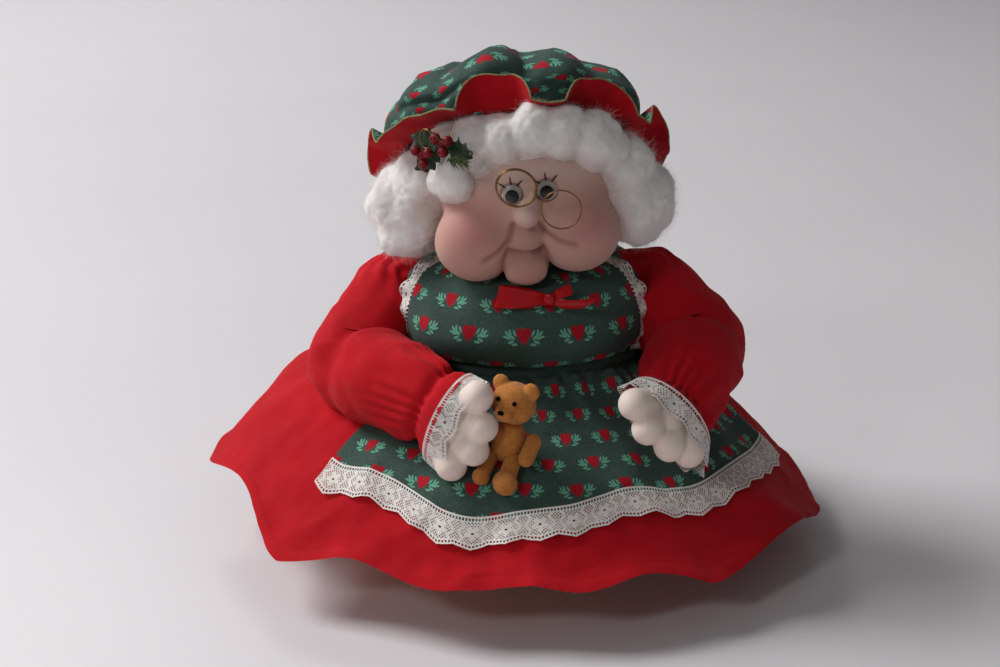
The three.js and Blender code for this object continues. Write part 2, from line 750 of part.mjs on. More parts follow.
function addBows() {
  const bowDepth = NECK_BOW_HEIGHT * 0.7;
  const bowAngle = Math.asin(NECK_BOW_X / SHOULDER_HALF_WIDTH);
  const lift = trimOffset + BIB_THICKNESS + NECK_BOW_LIFT;
  const seat = offsetPoint(bodySurface, bowAngle, shoulderRow, lift);
  const ribbon = bowSolid(NECK_BOW_HALF_SPAN, NECK_BOW_HEIGHT, bowDepth);
  const neckBow = ribbon.translate(seat.x, seat.y, seat.z - NECK_BOW_DROP);
  place("neck_bow", mainBody(cut(neckBow, bibClearSolid(), bodiceClear)), redSatin());
  const back = offsetPoint(bodySurface, Math.PI, bandMiddleRow, trimOffset + BAND_THICKNESS);
  const bowThickness = SASH_BOW_HEIGHT * 0.45;
  const sashBow = bowSolid(SASH_BOW_HALF_SPAN, SASH_BOW_HEIGHT, bowThickness);
  const seated = sashBow.translate(0, back.y + bowThickness * 0.5, back.z);
  place("apron_sash_bow", mainBody(cut(seated, bandClear, lapEnvelope, bodiceClear)), greenPrint());
}
const bodiceClear = envelope(bodySurface, bodyAngles, bodiceRows, bodiceOffset + CLOTH + GAP);
const pastEdge = (4 * GAP) / BODY_ROW_LENGTH;
const bandClearRows = [waistRow - pastEdge, bandMiddleRow, bandTopRow + pastEdge];
const bandClear = envelope(bodySurface, bodyAngles, bandClearRows, trimOffset + BAND_THICKNESS + GAP);
const trimClearRows = [waistRow - pastEdge, ...bodiceRows.slice(1)];
const trimClear = envelope(bodySurface, bodyAngles, trimClearRows, trimOffset + BIB_THICKNESS + GAP);

// Where the bear sits: its feet rest on the lap, and both hands are set by it
const [bearHalfWidth, bearHalfDepth, bearHalfHeight] = BEAR_BODY_RADII;
const armPeg = new THREE.Vector3(bearHalfWidth + BEAR_ARM_RADIUS + GAP, 0, bearHalfHeight * 0.3);
const legPeg = new THREE.Vector3(bearHalfWidth * 0.62, -bearHalfDepth * 0.5, -bearHalfHeight * 0.62);
const legReach = new THREE.Vector3(2, -BEAR_LEG_LENGTH * 0.75, -BEAR_LEG_LENGTH * 0.65);
const bearLap = lapHeight(BEAR_SPOT[0], -BEAR_SPOT[1] - legPeg.y - legReach.y);
const bearCentre = new THREE.Vector3(...BEAR_SPOT, bearLap + BEAR_RISE);

// Arms: puffed sleeves that lift at the shoulder, lace cuffs and stuffed hands
function armPoints(shoulder, elbow, fingers, cuffAim) {
  const fromBear = (offset) => vector(offset).add(bearCentre);
  const tips = fingers.map(fromBear);
  const middle = tips.reduce((total, tip) => total.add(tip), new THREE.Vector3()).divideScalar(tips.length);
  const aim = vector(cuffAim).normalize();
  const back = (distance) => middle.clone().addScaledVector(aim, -distance);
  return { shoulder: vector(shoulder), elbow: fromBear(elbow), tips, middle, aim, back };
}

const ARMS = {
  right: armPoints(SHOULDER_RIGHT, ELBOW_RIGHT, FINGERS_RIGHT, CUFF_AIM_RIGHT),
  left: armPoints(SHOULDER_LEFT, ELBOW_LEFT, FINGERS_LEFT, CUFF_AIM_LEFT),
};
const liftAxis = SIDEWAYS.clone().negate();

function handSolid(arm, grow) {
  const palm = arm.back(PALM_BACK);
  const parts = [capsule(arm.back(WRIST_BACK + WRIST_PLUG), palm, WRIST_RADIUS, grow)];
  for (const tip of arm.tips) {
    const base = arm.middle.clone().lerp(tip, FINGER_SPREAD).addScaledVector(arm.aim, -FLOUNCE_BACK);
    parts.push(capsule(base, tip, FINGER_RADIUS, grow));
  }
  return join(...parts, ball(palm, PALM_RADIUS, grow));
}

// Ring of points round an axis, from its side towards its top
function ringAbout(centre, forward, angles, radius, wave = () => 0) {
  const across = new THREE.Vector3().crossVectors(forward, UP).normalize();
  const above = new THREE.Vector3().crossVectors(across, forward).normalize();
  return angles.map((angle) => centre.clone()
    .addScaledVector(across, radius * Math.cos(angle))
    .addScaledVector(above, radius * Math.sin(angle))
    .addScaledVector(forward, wave(angle)));
}

// Ring of a sleeve's end, flattened across the row of fingers
function flatRing(arm, centre, angles, radius, wave) {
  const row = arm.tips[0].clone().sub(arm.tips.at(-1));
  const thin = new THREE.Vector3().crossVectors(arm.aim, row).normalize();
  return ringAbout(centre, arm.aim, angles, radius, wave).map((point) => {
    const depth = point.clone().sub(centre).dot(thin);
    return point.addScaledVector(thin, depth * (CUFF_FLATNESS - 1));
  });
}

// Stuffed sleeve, gathered at the wrist and open beyond it in a flounce
function sleeveSolid(arm) {
  const { shoulder, elbow } = arm;
  const wrist = arm.back(WRIST_BACK);
  const curve = new THREE.CatmullRomCurve3([
    shoulder,
    shoulder.clone().lerp(elbow, 0.55),
    elbow,
    elbow.clone().lerp(wrist, 0.5),
    wrist,
  ]);
  const steps = SLEEVE_RADII.length - 1;
  const frames = curve.computeFrenetFrames(steps, false);
  const angles = anglesAround(RING_POINTS);
  const rings = SLEEVE_RADII.map((radius, index) => {
    const centre = curve.getPointAt(index / steps);
    if (index === steps) return flatRing(arm, centre, angles, radius);
    return ringAbout(centre, frames.tangents[index], angles, radius);
  });
  return loft([...rings, flatRing(arm, arm.back(FLOUNCE_BACK), angles, FLOUNCE_RADIUS)]);
}

function cuffSolid(arm) {
  const angles = anglesAround(CUFF_WAVES * WAVE_POINTS);
  const rings = (lift) => evenly(0, 1, 2).map((out) => {
    const centre = arm.back(FLOUNCE_BACK - GAP - CUFF_LENGTH * out);
    const wave = (angle) => CUFF_WAVE_HEIGHT * out * Math.sin(CUFF_WAVES * angle);
    return flatRing(arm, centre, angles, FLOUNCE_RADIUS + CUFF_FLARE * out + lift, wave);
  });
  return sheet(rings(0), rings(-LACE), true);
}

function addArms(bearPieces) {
  for (const [name, arm] of Object.entries(ARMS)) {
    const { shoulder } = arm;
    const handClear = handSolid(arm, GAP);
    const free = cutThroughSwing(sleeveSolid(arm), [trimClear], shoulder, liftAxis, SHOULDER_LIFT, LIFT_STEP);
    place(`sleeve_${name}`, mainBody(cut(free, lapEnvelope, handClear)), redCotton());
    place(`cuff_lace_${name}`, mainBody(cut(cuffSolid(arm), lapEnvelope, handClear)), whiteLace());
    place(`hand_${name}`, mainBody(cut(handSolid(arm, 0), lapEnvelope, ...bearPieces)), nylonSkin());
  }
}

// Head: skull, cheeks, nose, lip and chin sewn from one stuffed stocking
const head = new THREE.Group();
head.position.set(...HEAD_CENTRE);
head.rotation.y = -radians(HEAD_ROLL);
doll.add(head);

function headSolid(grow) {
  return join(
    blob([0, 0, 0], SKULL_RADII, grow, SKULL_AROUND, SKULL_ALONG),
    blob(CHEEK_RIGHT, CHEEK_RADII, grow),
    blob(CHEEK_LEFT, CHEEK_RADII, grow),
    blob(NOSE, NOSE_RADII, grow, SMALL_AROUND, SMALL_ALONG),
    blob(LIP, LIP_RADII, grow, SMALL_AROUND, SMALL_ALONG),
    blob(CHIN, CHIN_RADII, grow),
  );
}

function addHead() {
  head.updateMatrix();
  const toHead = head.matrix.clone().invert();
  const socket = neckSolid(GAP).applyMatrix4(toHead);
  const seats = [EYE_RIGHT, EYE_LEFT].map((spot) => moved(eyeSeat(), eyeFrame(spot)));
  place("head", cut(headSolid(0), socket, ...seats), nylonSkin(), head);
}

// Point and outward direction on the skull's front at a place on the face
function skullFront([across, height]) {
  const [wide, deep, tall] = SKULL_RADII;
  const forward = -deep * Math.sqrt(1 - (across / wide) ** 2 - (height / tall) ** 2);
  const outward = new THREE.Vector3(across / wide ** 2, forward / deep ** 2, height / tall ** 2).normalize();
  return { point: new THREE.Vector3(across, forward, height), outward };
}

// Frame of an eye glued into a shallow seat, with its Z axis out of the face
function eyeFrame(spot) {
  const { point, outward } = skullFront(spot);
  const eye = new THREE.Group();
  eye.position.copy(point).addScaledVector(outward, -EYE_SINK);
  const right = new THREE.Vector3().crossVectors(UP, outward).normalize();
  const above = new THREE.Vector3().crossVectors(outward, right);
  eye.quaternion.setFromRotationMatrix(new THREE.Matrix4().makeBasis(right, above, outward));
  return eye;
}

function eyeSeat() {
  return disc(EYE_RADIUS + GAP, -GAP, EYE_SINK + EYE_DOME_HEIGHT, BLOB_AROUND);
}

// Eyes: each black disc has fallen to the bottom of its dome
function addEye(name, spot) {
  const eye = eyeFrame(spot);
  head.add(eye);
  const segments = BLOB_AROUND;
  const domeBottom = EYE_BACK + GAP;
  const inside = EYE_RADIUS - EYE_DOME_WALL;
  place(`eye_back_${name}`, disc(EYE_RADIUS, 0, EYE_BACK, segments), whitePlastic(), eye);
  place(`eye_dome_${name}`, turned([
    [0, EYE_DOME_HEIGHT],
    [EYE_RADIUS * 0.6, EYE_DOME_HEIGHT * 0.85],
    [EYE_RADIUS, domeBottom + DOME_RIM],
    [EYE_RADIUS, domeBottom],
    [inside, domeBottom],
    [inside, domeBottom + DOME_RIM],
    [inside * 0.6, EYE_DOME_HEIGHT * 0.85 - EYE_DOME_WALL],
    [0, EYE_DOME_HEIGHT - EYE_DOME_WALL],
  ], segments), clearPlastic(), eye);
  const pupil = disc(PUPIL_RADIUS, domeBottom, domeBottom + PUPIL_THICKNESS, segments);
  const fallen = inside - PUPIL_RADIUS - GAP;
  place(`pupil_${name}`, pupil.translate(0, -fallen, 0), blackPlastic(), eye);
}

// Depth of a control point that carries the bridge's middle from the rims' plane back to its seat
function bridgeBack(plane, seat) {
  const middleShare = 0.75;
  return -(seat - plane) / middleShare;
}

// Front of an eye's dome at a place on the face
function eyeFront(spot, place) {
  const { point } = skullFront(spot);
  const aside = Math.hypot(place[0] - spot[0], place[1] - spot[1]) / EYE_RADIUS;
  const slope = mix(EYE_DOME_HEIGHT * 0.85, EYE_BACK + GAP + DOME_RIM, (aside - 0.6) / 0.4);
  const dome = aside < 0.6 ? EYE_DOME_HEIGHT : slope;
  return point.y + EYE_SINK - dome;
}

// Spectacles: two rims in front of the nose and a bridge that dips back onto the left eye's dome
function addSpectacles() {
  const noseTip = NOSE[1] - NOSE_RADII[1];
  const wireRadius = SPECTACLES_WIRE / 2;
  const rims = [-1, 1].map((side) => cleaned(
    new THREE.TorusGeometry(LENS_RADIUS, wireRadius, WIRE_SIDES, WIRE_STEPS)
      .translate((side * LENS_SPACING) / 2, 0, 0),
  ));
  const plane = noseTip - wireRadius - GAP;
  const domeFront = eyeFront(EYE_LEFT, SPECTACLES_CENTRE);
  const reach = LENS_SPACING / 2 - LENS_RADIUS;
  const bridge = tube(new THREE.CubicBezierCurve3(
    new THREE.Vector3(-reach, 0, 0),
    new THREE.Vector3(-reach / 2, -BRIDGE_DIP, bridgeBack(plane, domeFront - wireRadius - GAP)),
    new THREE.Vector3(reach / 2, -BRIDGE_DIP, bridgeBack(plane, domeFront - wireRadius - GAP)),
    new THREE.Vector3(reach, 0, 0),
  ), wireRadius * 0.95, 6);
  const wire = join(...rims, bridge).rotateZ(-radians(SPECTACLES_TILT)).rotateX(Math.PI / 2);
  const [across, height] = SPECTACLES_CENTRE;
  place("spectacles", wire.translate(across, plane, height), goldWire(), head);
}

// Mob cap, in its own frame with the brim in its XY plane
const cap = new THREE.Group();
cap.position.set(...CAP_OFFSET);
cap.rotation.x = -radians(CAP_TILT);
head.add(cap);

const ruffleAngles = anglesAround(RUFFLE_WAVES * WAVE_POINTS);
const crownAngles = foldAngles(CAP_CREASES, CREASE_STEPS);
const crownProfile = new THREE.CatmullRomCurve3([
  new THREE.Vector3(CAP_BRIM_RADIUS, 0, 0),
  new THREE.Vector3(CAP_PUFF_RADIUS, 0, CAP_PUFF_HEIGHT),
  new THREE.Vector3(CAP_PUFF_RADIUS * 0.68, 0, CAP_HEIGHT * 0.85),
  new THREE.Vector3(0, 0, CAP_HEIGHT),
]);

function crownSurface(angle, along) {
  const place = crownProfile.getPoint(along);
  const puff = foldHeight(CAP_CREASES, angle) * Math.sin(Math.PI * along) * CREASE_GAIN * (1 - along);
  const radius = Math.max(place.x - puff, 0);
  return bearing(angle, radius, radius, place.z - puff * along);
}

function crownSolid(grow) {
  const rows = evenly(0, 0.95, 5);
  const ringsAt = (distance) => {
    const rings = gridOf(crownSurface, crownAngles, rows, distance);
    const top = new THREE.Vector3(0, 0, CAP_HEIGHT + distance);
    return [...rings, crownAngles.map(() => top.clone())];
  };
  return sheet(ringsAt(grow), ringsAt(-CLOTH - grow), true);
}

function ruffleSurface(angle, along) {
  const outward = 1 - along;
  const wave = RUFFLE_WAVE_HEIGHT * Math.cos(RUFFLE_WAVES * angle) * Math.max(outward, 0) ** 1.5;
  const radius = CAP_BRIM_RADIUS - CLOTH + RUFFLE_WIDTH * outward;
  return bearing(angle, radius, radius, wave - RUFFLE_DROOP * outward);
}

const ruffleDrop = CLOTH + 2 * GAP;
const ruffleRows = evenly(0, 1, 2);

function ruffleSolid(below, thickness, rows = ruffleRows) {
  return layer(ruffleSurface, ruffleAngles, rows, -below - thickness, thickness, true);
}

function elasticSolid(grow) {
  const ring = new THREE.TorusGeometry(CAP_BRIM_RADIUS - CLOTH - ELASTIC_WIRE / 2 - ELASTIC_EASE - GAP,
    ELASTIC_WIRE / 2 + grow, WIRE_SIDES, WIRE_STEPS * 2);
  return cleaned(ring.translate(0, 0, ELASTIC_WIRE / 2 + GAP));
}

function addCap() {
  place("cap_crown", crownSolid(0), greenPrint(), cap);
  place("cap_elastic", elasticSolid(0), whiteLace(), cap);
  place("cap_ruffle", ruffleSolid(GAP, CLOTH), greenPrint(), cap);
  place("cap_ruffle_lining", ruffleSolid(ruffleDrop, CLOTH), redCotton(), cap);
}

// Everything of the cap that the hair keeps clear of, in the head's frame
function capClear() {
  const past = (2 * GAP) / RUFFLE_WIDTH;
  const ruffle = ruffleSolid(-GAP, ruffleDrop + CLOTH + 3 * GAP, evenly(-past, 1 + past, 2));
  return [crownSolid(GAP), elasticSolid(GAP), ruffle].map((piece) => moved(piece, cap));
}

// Hair: side puffs, a fringe over the forehead and a roll at the nape, all outside the skull
function hairRoll(middle, halfSpan, radius, bow) {
  const curve = new THREE.QuadraticBezierCurve3(
    new THREE.Vector3(-halfSpan, middle.y + bow, middle.z - radius),
    new THREE.Vector3(0, middle.y - bow, middle.z + radius),
    new THREE.Vector3(halfSpan, middle.y + bow, middle.z - radius),
  );
  const steps = 8;
  const rings = evenly(0, 1, steps).map((along) => {
    const centre = curve.getPoint(along);
    const forward = curve.getTangent(along);
    const across = new THREE.Vector3().crossVectors(forward, UP).normalize();
    const above = new THREE.Vector3().crossVectors(across, forward);
    const taper = radius * (0.55 + 0.45 * Math.sin(Math.PI * along));
    return anglesAround(RING_POINTS).map((angle) => centre.clone()
      .addScaledVector(across, taper * Math.cos(angle))
      .addScaledVector(above, taper * Math.sin(angle)));
  });
  return loft(rings);
}

function addHair(sprigClear) {
  const skin = headSolid(GAP);
  const clear = [skin, ...capClear(), ...sprigClear];
  const puff = (centre, grow) => blob(centre, HAIR_PUFF_RADII, grow);
  place("hair_right", mainBody(cut(puff(HAIR_PUFF_RIGHT, 0), ...clear)), whiteHair(), head);
  place("hair_left", mainBody(cut(puff(HAIR_PUFF_LEFT, 0), ...clear)), whiteHair(), head);
  const puffs = [puff(HAIR_PUFF_RIGHT, GAP), puff(HAIR_PUFF_LEFT, GAP)];
  const curl = (grow) => blob(CURL_CENTRE, Array(3).fill(CURL_RADIUS), grow);
  place("hair_curl", mainBody(cut(curl(0), ...clear, ...puffs)), whiteHair(), head);
  const fringeMiddle = new THREE.Vector3(0, FRINGE_FRONT, FRINGE_HEIGHT);
  const fringe = hairRoll(fringeMiddle, FRINGE_HALF_SPAN, FRINGE_RADIUS, FRINGE_BOW);
  place("hair_fringe", mainBody(cut(fringe, ...clear, ...puffs, curl(GAP))), whiteHair(), head);
  const napeMiddle = new THREE.Vector3(0, NAPE_BACK, NAPE_HEIGHT);
  const nape = hairRoll(napeMiddle, NAPE_HALF_SPAN, NAPE_RADIUS, -NAPE_BOW);
  place("hair_nape", mainBody(cut(nape, ...clear, ...puffs)), whiteHair(), head);
}

// Holly sprig: leaves, berry clusters, a pine tip and a loop of gold wire, tucked into the fringe
const sprig = new THREE.Group();
sprig.position.set(...SPRIG_SPOT);
sprig.rotation.z = Math.atan2(SPRIG_SPOT[0], -SPRIG_SPOT[1]);
head.add(sprig);

function leafSolid(angle, grow) {
  const outline = new THREE.Shape();
  const tip = LEAF_LENGTH + grow;
  outline.moveTo(-grow, 0);
  outline.quadraticCurveTo(tip * 0.5, LEAF_WIDTH + 2 * grow, tip, 0);
  outline.quadraticCurveTo(tip * 0.5, -LEAF_WIDTH - 2 * grow, -grow, 0);
  const depth = LEAF_THICKNESS + 2 * grow;
  const leaf = new THREE.ExtrudeGeometry(outline, { depth, bevelEnabled: false, curveSegments: 4 });
  return cleaned(leaf.rotateX(Math.PI / 2).translate(0, grow, 0).rotateY(-radians(angle)));
}

function berrySolid(spot, grow) {
  const cluster = [[0, 0, 0], [1.5, 0, 0.6], [0.5, -0.3, -1.4]];
  const berries = cluster.map((share) => vector(share).multiplyScalar(BERRY_RADIUS).add(vector(spot)));
  return join(...berries.map((centre) => ball(centre, BERRY_RADIUS, grow)));
}

function pineSolid(spot, grow) {
  const cone = new THREE.ConeGeometry(PINE_RADIUS + grow, PINE_LENGTH + 2 * grow, SMALL_AROUND);
  return cleaned(cone.rotateZ(-Math.PI / 2).translate(...spot));
}

function sprigWireSolid(spot, grow) {
  const ring = new THREE.TorusGeometry(SPRIG_WIRE_LOOP, SPRIG_WIRE / 2 + grow, WIRE_SIDES, WIRE_STEPS);
  return cleaned(ring.rotateX(Math.PI / 2).translate(...spot));
}

// The sprig's pieces, stacked from the hair outwards along -Y in the sprig's frame
function sprigPieces(grow) {
  const layerStep = LEAF_THICKNESS + GAP;
  const leaves = LEAF_ANGLES.map((angle, index) => (
    [`holly_leaf_${index + 1}`, leafSolid(angle, grow).translate(0, -index * layerStep, 0), hollyGreen()]
  ));
  const front = -LEAF_ANGLES.length * layerStep;
  const upper = [BERRY_RADIUS, -layerStep - BERRY_RADIUS, BERRY_RADIUS];
  const lower = [-BERRY_RADIUS * 3, front - BERRY_RADIUS, -BERRY_RADIUS * 1.4];
  const pineSpot = [PINE_LENGTH + GAP, -layerStep - PINE_RADIUS, -PINE_RADIUS * 1.2];
  const wireSpot = [-SPRIG_WIRE_LOOP * 1.4, front - SPRIG_WIRE / 2, SPRIG_WIRE_LOOP * 0.9];
  return [
    ...leaves,
    ["holly_berries_1", berrySolid(upper, grow), berryRed()],
    ["holly_berries_2", berrySolid(lower, grow), berryRed()],
    ["holly_pine_tip", pineSolid(pineSpot, grow), hollyGreen()],
    ["holly_wire", sprigWireSolid(wireSpot, grow), goldWire()],
  ];
}

function addSprig() {
  for (const [name, geometry, material] of sprigPieces(0)) place(name, geometry, material, sprig);
}

function sprigClear() {
  return sprigPieces(GAP).map(([, geometry]) => moved(geometry, sprig));
}

// Bear, in its own frame facing -Y, with its limbs turning on pegs across its body
const bear = new THREE.Group();
bear.position.copy(bearCentre);
bear.rotation.set(0, radians(BEAR_LEAN), radians(BEAR_YAW), "ZYX");
doll.add(bear);

function bearLimbs(side) {
  const across = new THREE.Vector3(side, 1, 1);
  const arm = armPeg.clone().multiply(across);
  const leg = legPeg.clone().multiply(across);
  const hand = arm.clone().add(new THREE.Vector3(0, -BEAR_ARM_LENGTH * 0.6, -BEAR_ARM_LENGTH * 0.8));
  const foot = leg.clone().add(legReach.clone().multiply(across));
  return { arm, hand, leg, foot };
}

function bearHeadSolid(grow) {
  const radius = BEAR_HEAD_RADIUS;
  const skull = blob([0, 0, BEAR_HEAD_RISE], [radius, radius * 0.92, radius * 0.95], grow, 12, 9);
  const muzzle = ball([0, -radius * 0.85, BEAR_HEAD_RISE - radius * 0.25], BEAR_MUZZLE_RADIUS, grow);
  const ears = [-1, 1].map((side) => (
    ball([side * radius * 0.72, 0, BEAR_HEAD_RISE + radius * 0.78], BEAR_EAR_RADIUS, grow)
  ));
  return join(skull, muzzle, ...ears);
}

// The bear's pieces, kept for cutting the hand that holds it
function bearSolids() {
  const solids = {};
  const lap = lapEnvelope.clone().applyMatrix4(bear.matrix.clone().invert());
  let body = blob([0, 0, 0], BEAR_BODY_RADII, 0, 12, 9);
  const handClear = [];
  for (const [sideName, side] of SIDES) {
    const { arm, hand, leg, foot } = bearLimbs(side);
    const swings = [
      [capsule(arm, hand, BEAR_ARM_RADIUS, GAP), arm, BEAR_ARM_SWING, LIFT_STEP],
      [capsule(leg, foot, BEAR_LEG_RADIUS, GAP), leg, BEAR_LEG_SWING, BEAR_LEG_SWING],
    ];
    for (const [limb, peg, swing, step] of swings) {
      const angles = evenly(0, swing, Math.round(swing / step));
      const poses = angles.map((angle) => turnedAbout(limb, peg, SIDEWAYS, -angle));
      body = cut(body, ...poses);
      handClear.push(...poses);
    }
    solids[`bear_arm_${sideName}`] = capsule(arm, hand, BEAR_ARM_RADIUS);
    solids[`bear_leg_${sideName}`] = mainBody(cut(capsule(leg, foot, BEAR_LEG_RADIUS), lap));
  }
  const seat = turned([
    [0, bearHalfHeight * 0.6],
    [bearHalfWidth * 0.6, bearHalfHeight * 0.6],
    [bearHalfWidth * 0.6, BEAR_HEAD_RISE],
    [0, BEAR_HEAD_RISE],
  ], SMALL_AROUND);
  const socket = bearHeadSolid(GAP);
  solids.bear_body = mainBody(cut(join(body, seat), socket, lap));
  solids.bear_head = bearHeadSolid(0);
  handClear.push(blob([0, 0, 0], BEAR_BODY_RADII, GAP), socket);
  return { solids, handClear: handClear.map((piece) => moved(piece, bear)) };
}

function addBear(solids) {
  for (const [name, geometry] of Object.entries(solids)) place(name, geometry, bearFlock(), bear);
  const radius = BEAR_HEAD_RADIUS;
  const noseFront = radius * 0.85 + BEAR_MUZZLE_RADIUS + BEAR_NOSE_RADIUS + GAP;
  const noseSpot = [0, -noseFront, BEAR_HEAD_RISE - radius * 0.2];
  place("bear_nose", ball(noseSpot, BEAR_NOSE_RADIUS), blackPlastic(), bear);
  for (const [sideName, side] of SIDES) {
    const outward = new THREE.Vector3(side * 0.42, -0.86, 0.28).normalize();
    const spot = outward.multiplyScalar(radius + BEAR_EYE_RADIUS).addScaledVector(UP, BEAR_HEAD_RISE);
    place(`bear_eye_${sideName}`, ball(spot, BEAR_EYE_RADIUS), blackPlastic(), bear);
  }
}

// Assembly
bear.updateMatrix();
const bearParts = bearSolids();
addBase();
addBody();
addDress();
addApron();
addStraps();
addBows();
addArms(bearParts.handClear);
addBear(bearParts.solids);
addHead();
addEye("right", EYE_RIGHT);
addEye("left", EYE_LEFT);
addSpectacles();
addCap();
addSprig();
addHair(sprigClear());

export default doll;
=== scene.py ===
import math

import bpy
import numpy as np
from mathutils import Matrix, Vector


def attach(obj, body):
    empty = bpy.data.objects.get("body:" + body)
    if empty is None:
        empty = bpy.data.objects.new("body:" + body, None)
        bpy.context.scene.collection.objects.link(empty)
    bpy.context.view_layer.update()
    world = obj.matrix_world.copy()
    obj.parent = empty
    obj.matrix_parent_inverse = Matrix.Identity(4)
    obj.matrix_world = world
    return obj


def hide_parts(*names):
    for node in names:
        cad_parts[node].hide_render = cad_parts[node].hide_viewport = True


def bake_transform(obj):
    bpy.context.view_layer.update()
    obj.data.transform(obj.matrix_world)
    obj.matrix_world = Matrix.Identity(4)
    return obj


# Nylon stocking doll: a seated granny in a red dress, print apron and mob cap, holding a small bear.
# Sizes are in millimetres. The doll faces -Y, and angles run from its front towards its own left, +X.

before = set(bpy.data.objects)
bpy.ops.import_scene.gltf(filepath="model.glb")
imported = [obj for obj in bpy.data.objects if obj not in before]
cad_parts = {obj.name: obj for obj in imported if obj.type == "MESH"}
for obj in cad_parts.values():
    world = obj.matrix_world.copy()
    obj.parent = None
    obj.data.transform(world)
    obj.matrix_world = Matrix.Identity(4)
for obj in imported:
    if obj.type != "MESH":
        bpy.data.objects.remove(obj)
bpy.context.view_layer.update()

MM = 0.001

# Body: half width, half depth and height at each station
BODY = [(72, 72, 4.4), (98, 96, 40), (58, 52, 97), (62, 62, 116), (54, 54, 136), (20, 20, 143)]
WAIST_ROW = 0.4
SHOULDER_ROW = 0.8
ROW_LENGTH = 76.7
BODICE_LIFT = 0.8
TRIM_LIFT = 2.0

# Under the dress: radius and height along each round profile
PELLETS = [(0.5, 5.2), (36, 5), (43.5, 9), (41, 18), (30, 22.2), (0.5, 22.6)]
NECK = [(9.6, 127.5), (9.8, 140), (13.4, 147), (13.6, 156), (8, 163.5), (1, 165)]
NECK_FORWARD = 6
BASE_EDGE = [(0.6, 0), (40, 0), (70.8, 0), (72, 0.9), (72, 3.4), (71.3, 3.9), (70.9, 3.5)]

# Skirt, with the angle of each fold's ridge and how far it stands out at the hem
WAIST_ACROSS = 60.1
WAIST_DEEP = 54.1
SKIRT_TOP = 95.5
HEM_RADIUS = 147
HEM_HEIGHT = 22
HEM_SIDE_SWAY = 2
HEM_SIDE_RISE = 4
HEM_FRONT_RISE = 9
HEM_CORNER_RISE = 14
SKIRT_PUFF = 0.75
SKIRT_PUFF_SKEW = 0.35
SKIRT_RIDGES = [
    (-168, 7), (-128, 7), (-88, 7), (-46, 6), (-14, 1.5), (10, 1.5), (34, 4), (80, 4.5), (136, 7),
]
SKIRT_RIDGE_DROP = 0.9
SKIRT_SLANT = 118
FOLD_SHARPNESS = 1.4
SIDE_SWELL = 5
SIDE_SWELL_ANGLE = -105
FRONT_DIP = 7.5
FRONT_DIP_ANGLE = -6
FRONT_DIP_HALF = 38
CORNER_FILL = 9
CORNER_FILL_ANGLE = 58
HEM_FLARE = 2.5
HEM_STITCHES = 0.06

# Apron
BIB_HALF_ANGLE = 60
BIB_BOTTOM = 103
BIB_TOP = 142.2
BIB_THICKNESS = 2.5
LAP_ANGLES = (-50, 84)
LAP_HEM = [
    (-50, 0.41), (-42, 0.42), (-30, 0.38), (-14, 0.285), (2, 0.315), (18, 0.37), (32, 0.395),
    (43, 0.35), (84, 0.37),
]
LAP_TOP = 0.992
LAP_LIFT = 1.3
LAP_REACH = 112
CLOTH_REACH = 60
BIB_REACH = 62
BIB_PUFF = 2.5
WAISTBAND_HEIGHT = 100
WAISTBAND_HALF = 5.2
STRAP_HALF = 7.5
FRILL_LENGTH = 46.0
FRILL_CUT = 10.4
LACE_WIDTH = 14
LACE_REPEAT = 15
LACE_CELL = 0.3
LACE_NET = 1.5
LACE_ZIGZAG = 2.2
LACE_HEADER = 2.6
LACE_BORDER = 2.7

# Print: a heart between two sprigs, in rows that shift by half a repeat
PRINT_ACROSS = 24
PRINT_ROW = 12
HEART_HALF_WIDTH = 3.1
PRINT_SPRIG = [
    ((4.0, 1.9), (1.3, 0.5), 60), ((5.0, 0.5), (1.4, 0.55), 30), ((5.9, 2.0), (1.4, 0.5), 75),
    ((6.6, 0.2), (1.3, 0.5), 10), ((7.2, 1.7), (1.3, 0.5), 50), ((5.4, -1.2), (1.3, 0.5), -20),
    ((3.9, -2.0), (1.3, 0.45), -5), ((7.9, 0.5), (1.0, 0.4), 15),
]

# Bows: the way of each ribbon from its knot
NECK_KNOT = (11.5, -64.0, 137.2)
LOOP_RIGHT = [
    (0, 0, 0), (-8, -2, 0.4), (-18, -2.2, 0.6), (-24, 0.5, 1), (-18, 2.5, 0.4), (-8, 1.5, 0.2), (0, 0.5, 0),
]
LOOP_LEFT = [
    (0, 0, 0.5), (4, -1.8, 2), (8, -1.5, 3.6), (10.5, 0.5, 4.2), (8, 2, 3.4), (4, 1.5, 1.6), (0, 0.5, 0.3),
]
TAIL_LEFT = [(0, -0.5, -0.5), (7, -2.2, -2.2), (15, -1.8, -2.2), (22, 0.2, -0.2)]
TAIL_RIGHT = [(0, -0.3, -0.8), (-5, -1.2, -1.6), (-10, -0.8, -2.4), (-15, 1, -2.6)]
KNOT_TURN = [(-2, 0.5, 0.5), (-2.2, -2, 0.2), (0, -3.2, 0), (2.2, -2, -0.2), (2, 0.5, -0.5)]
SASH_LOOP = [(0, 0, 0), (12, 3, 5), (26, 4, 7), (32, 2.5, 2), (25, 0.5, -2), (11, 0.5, -1), (0, 0.5, 0)]
SASH_TAIL = [(0, 1, 0), (7, 5, -5), (13, 10, -11), (19, 16, -18)]
SASH_TURN = [(-4, 0, 0), (-4, 4, 0), (0, 6, 0), (4, 4, 0), (4, 0, 0)]

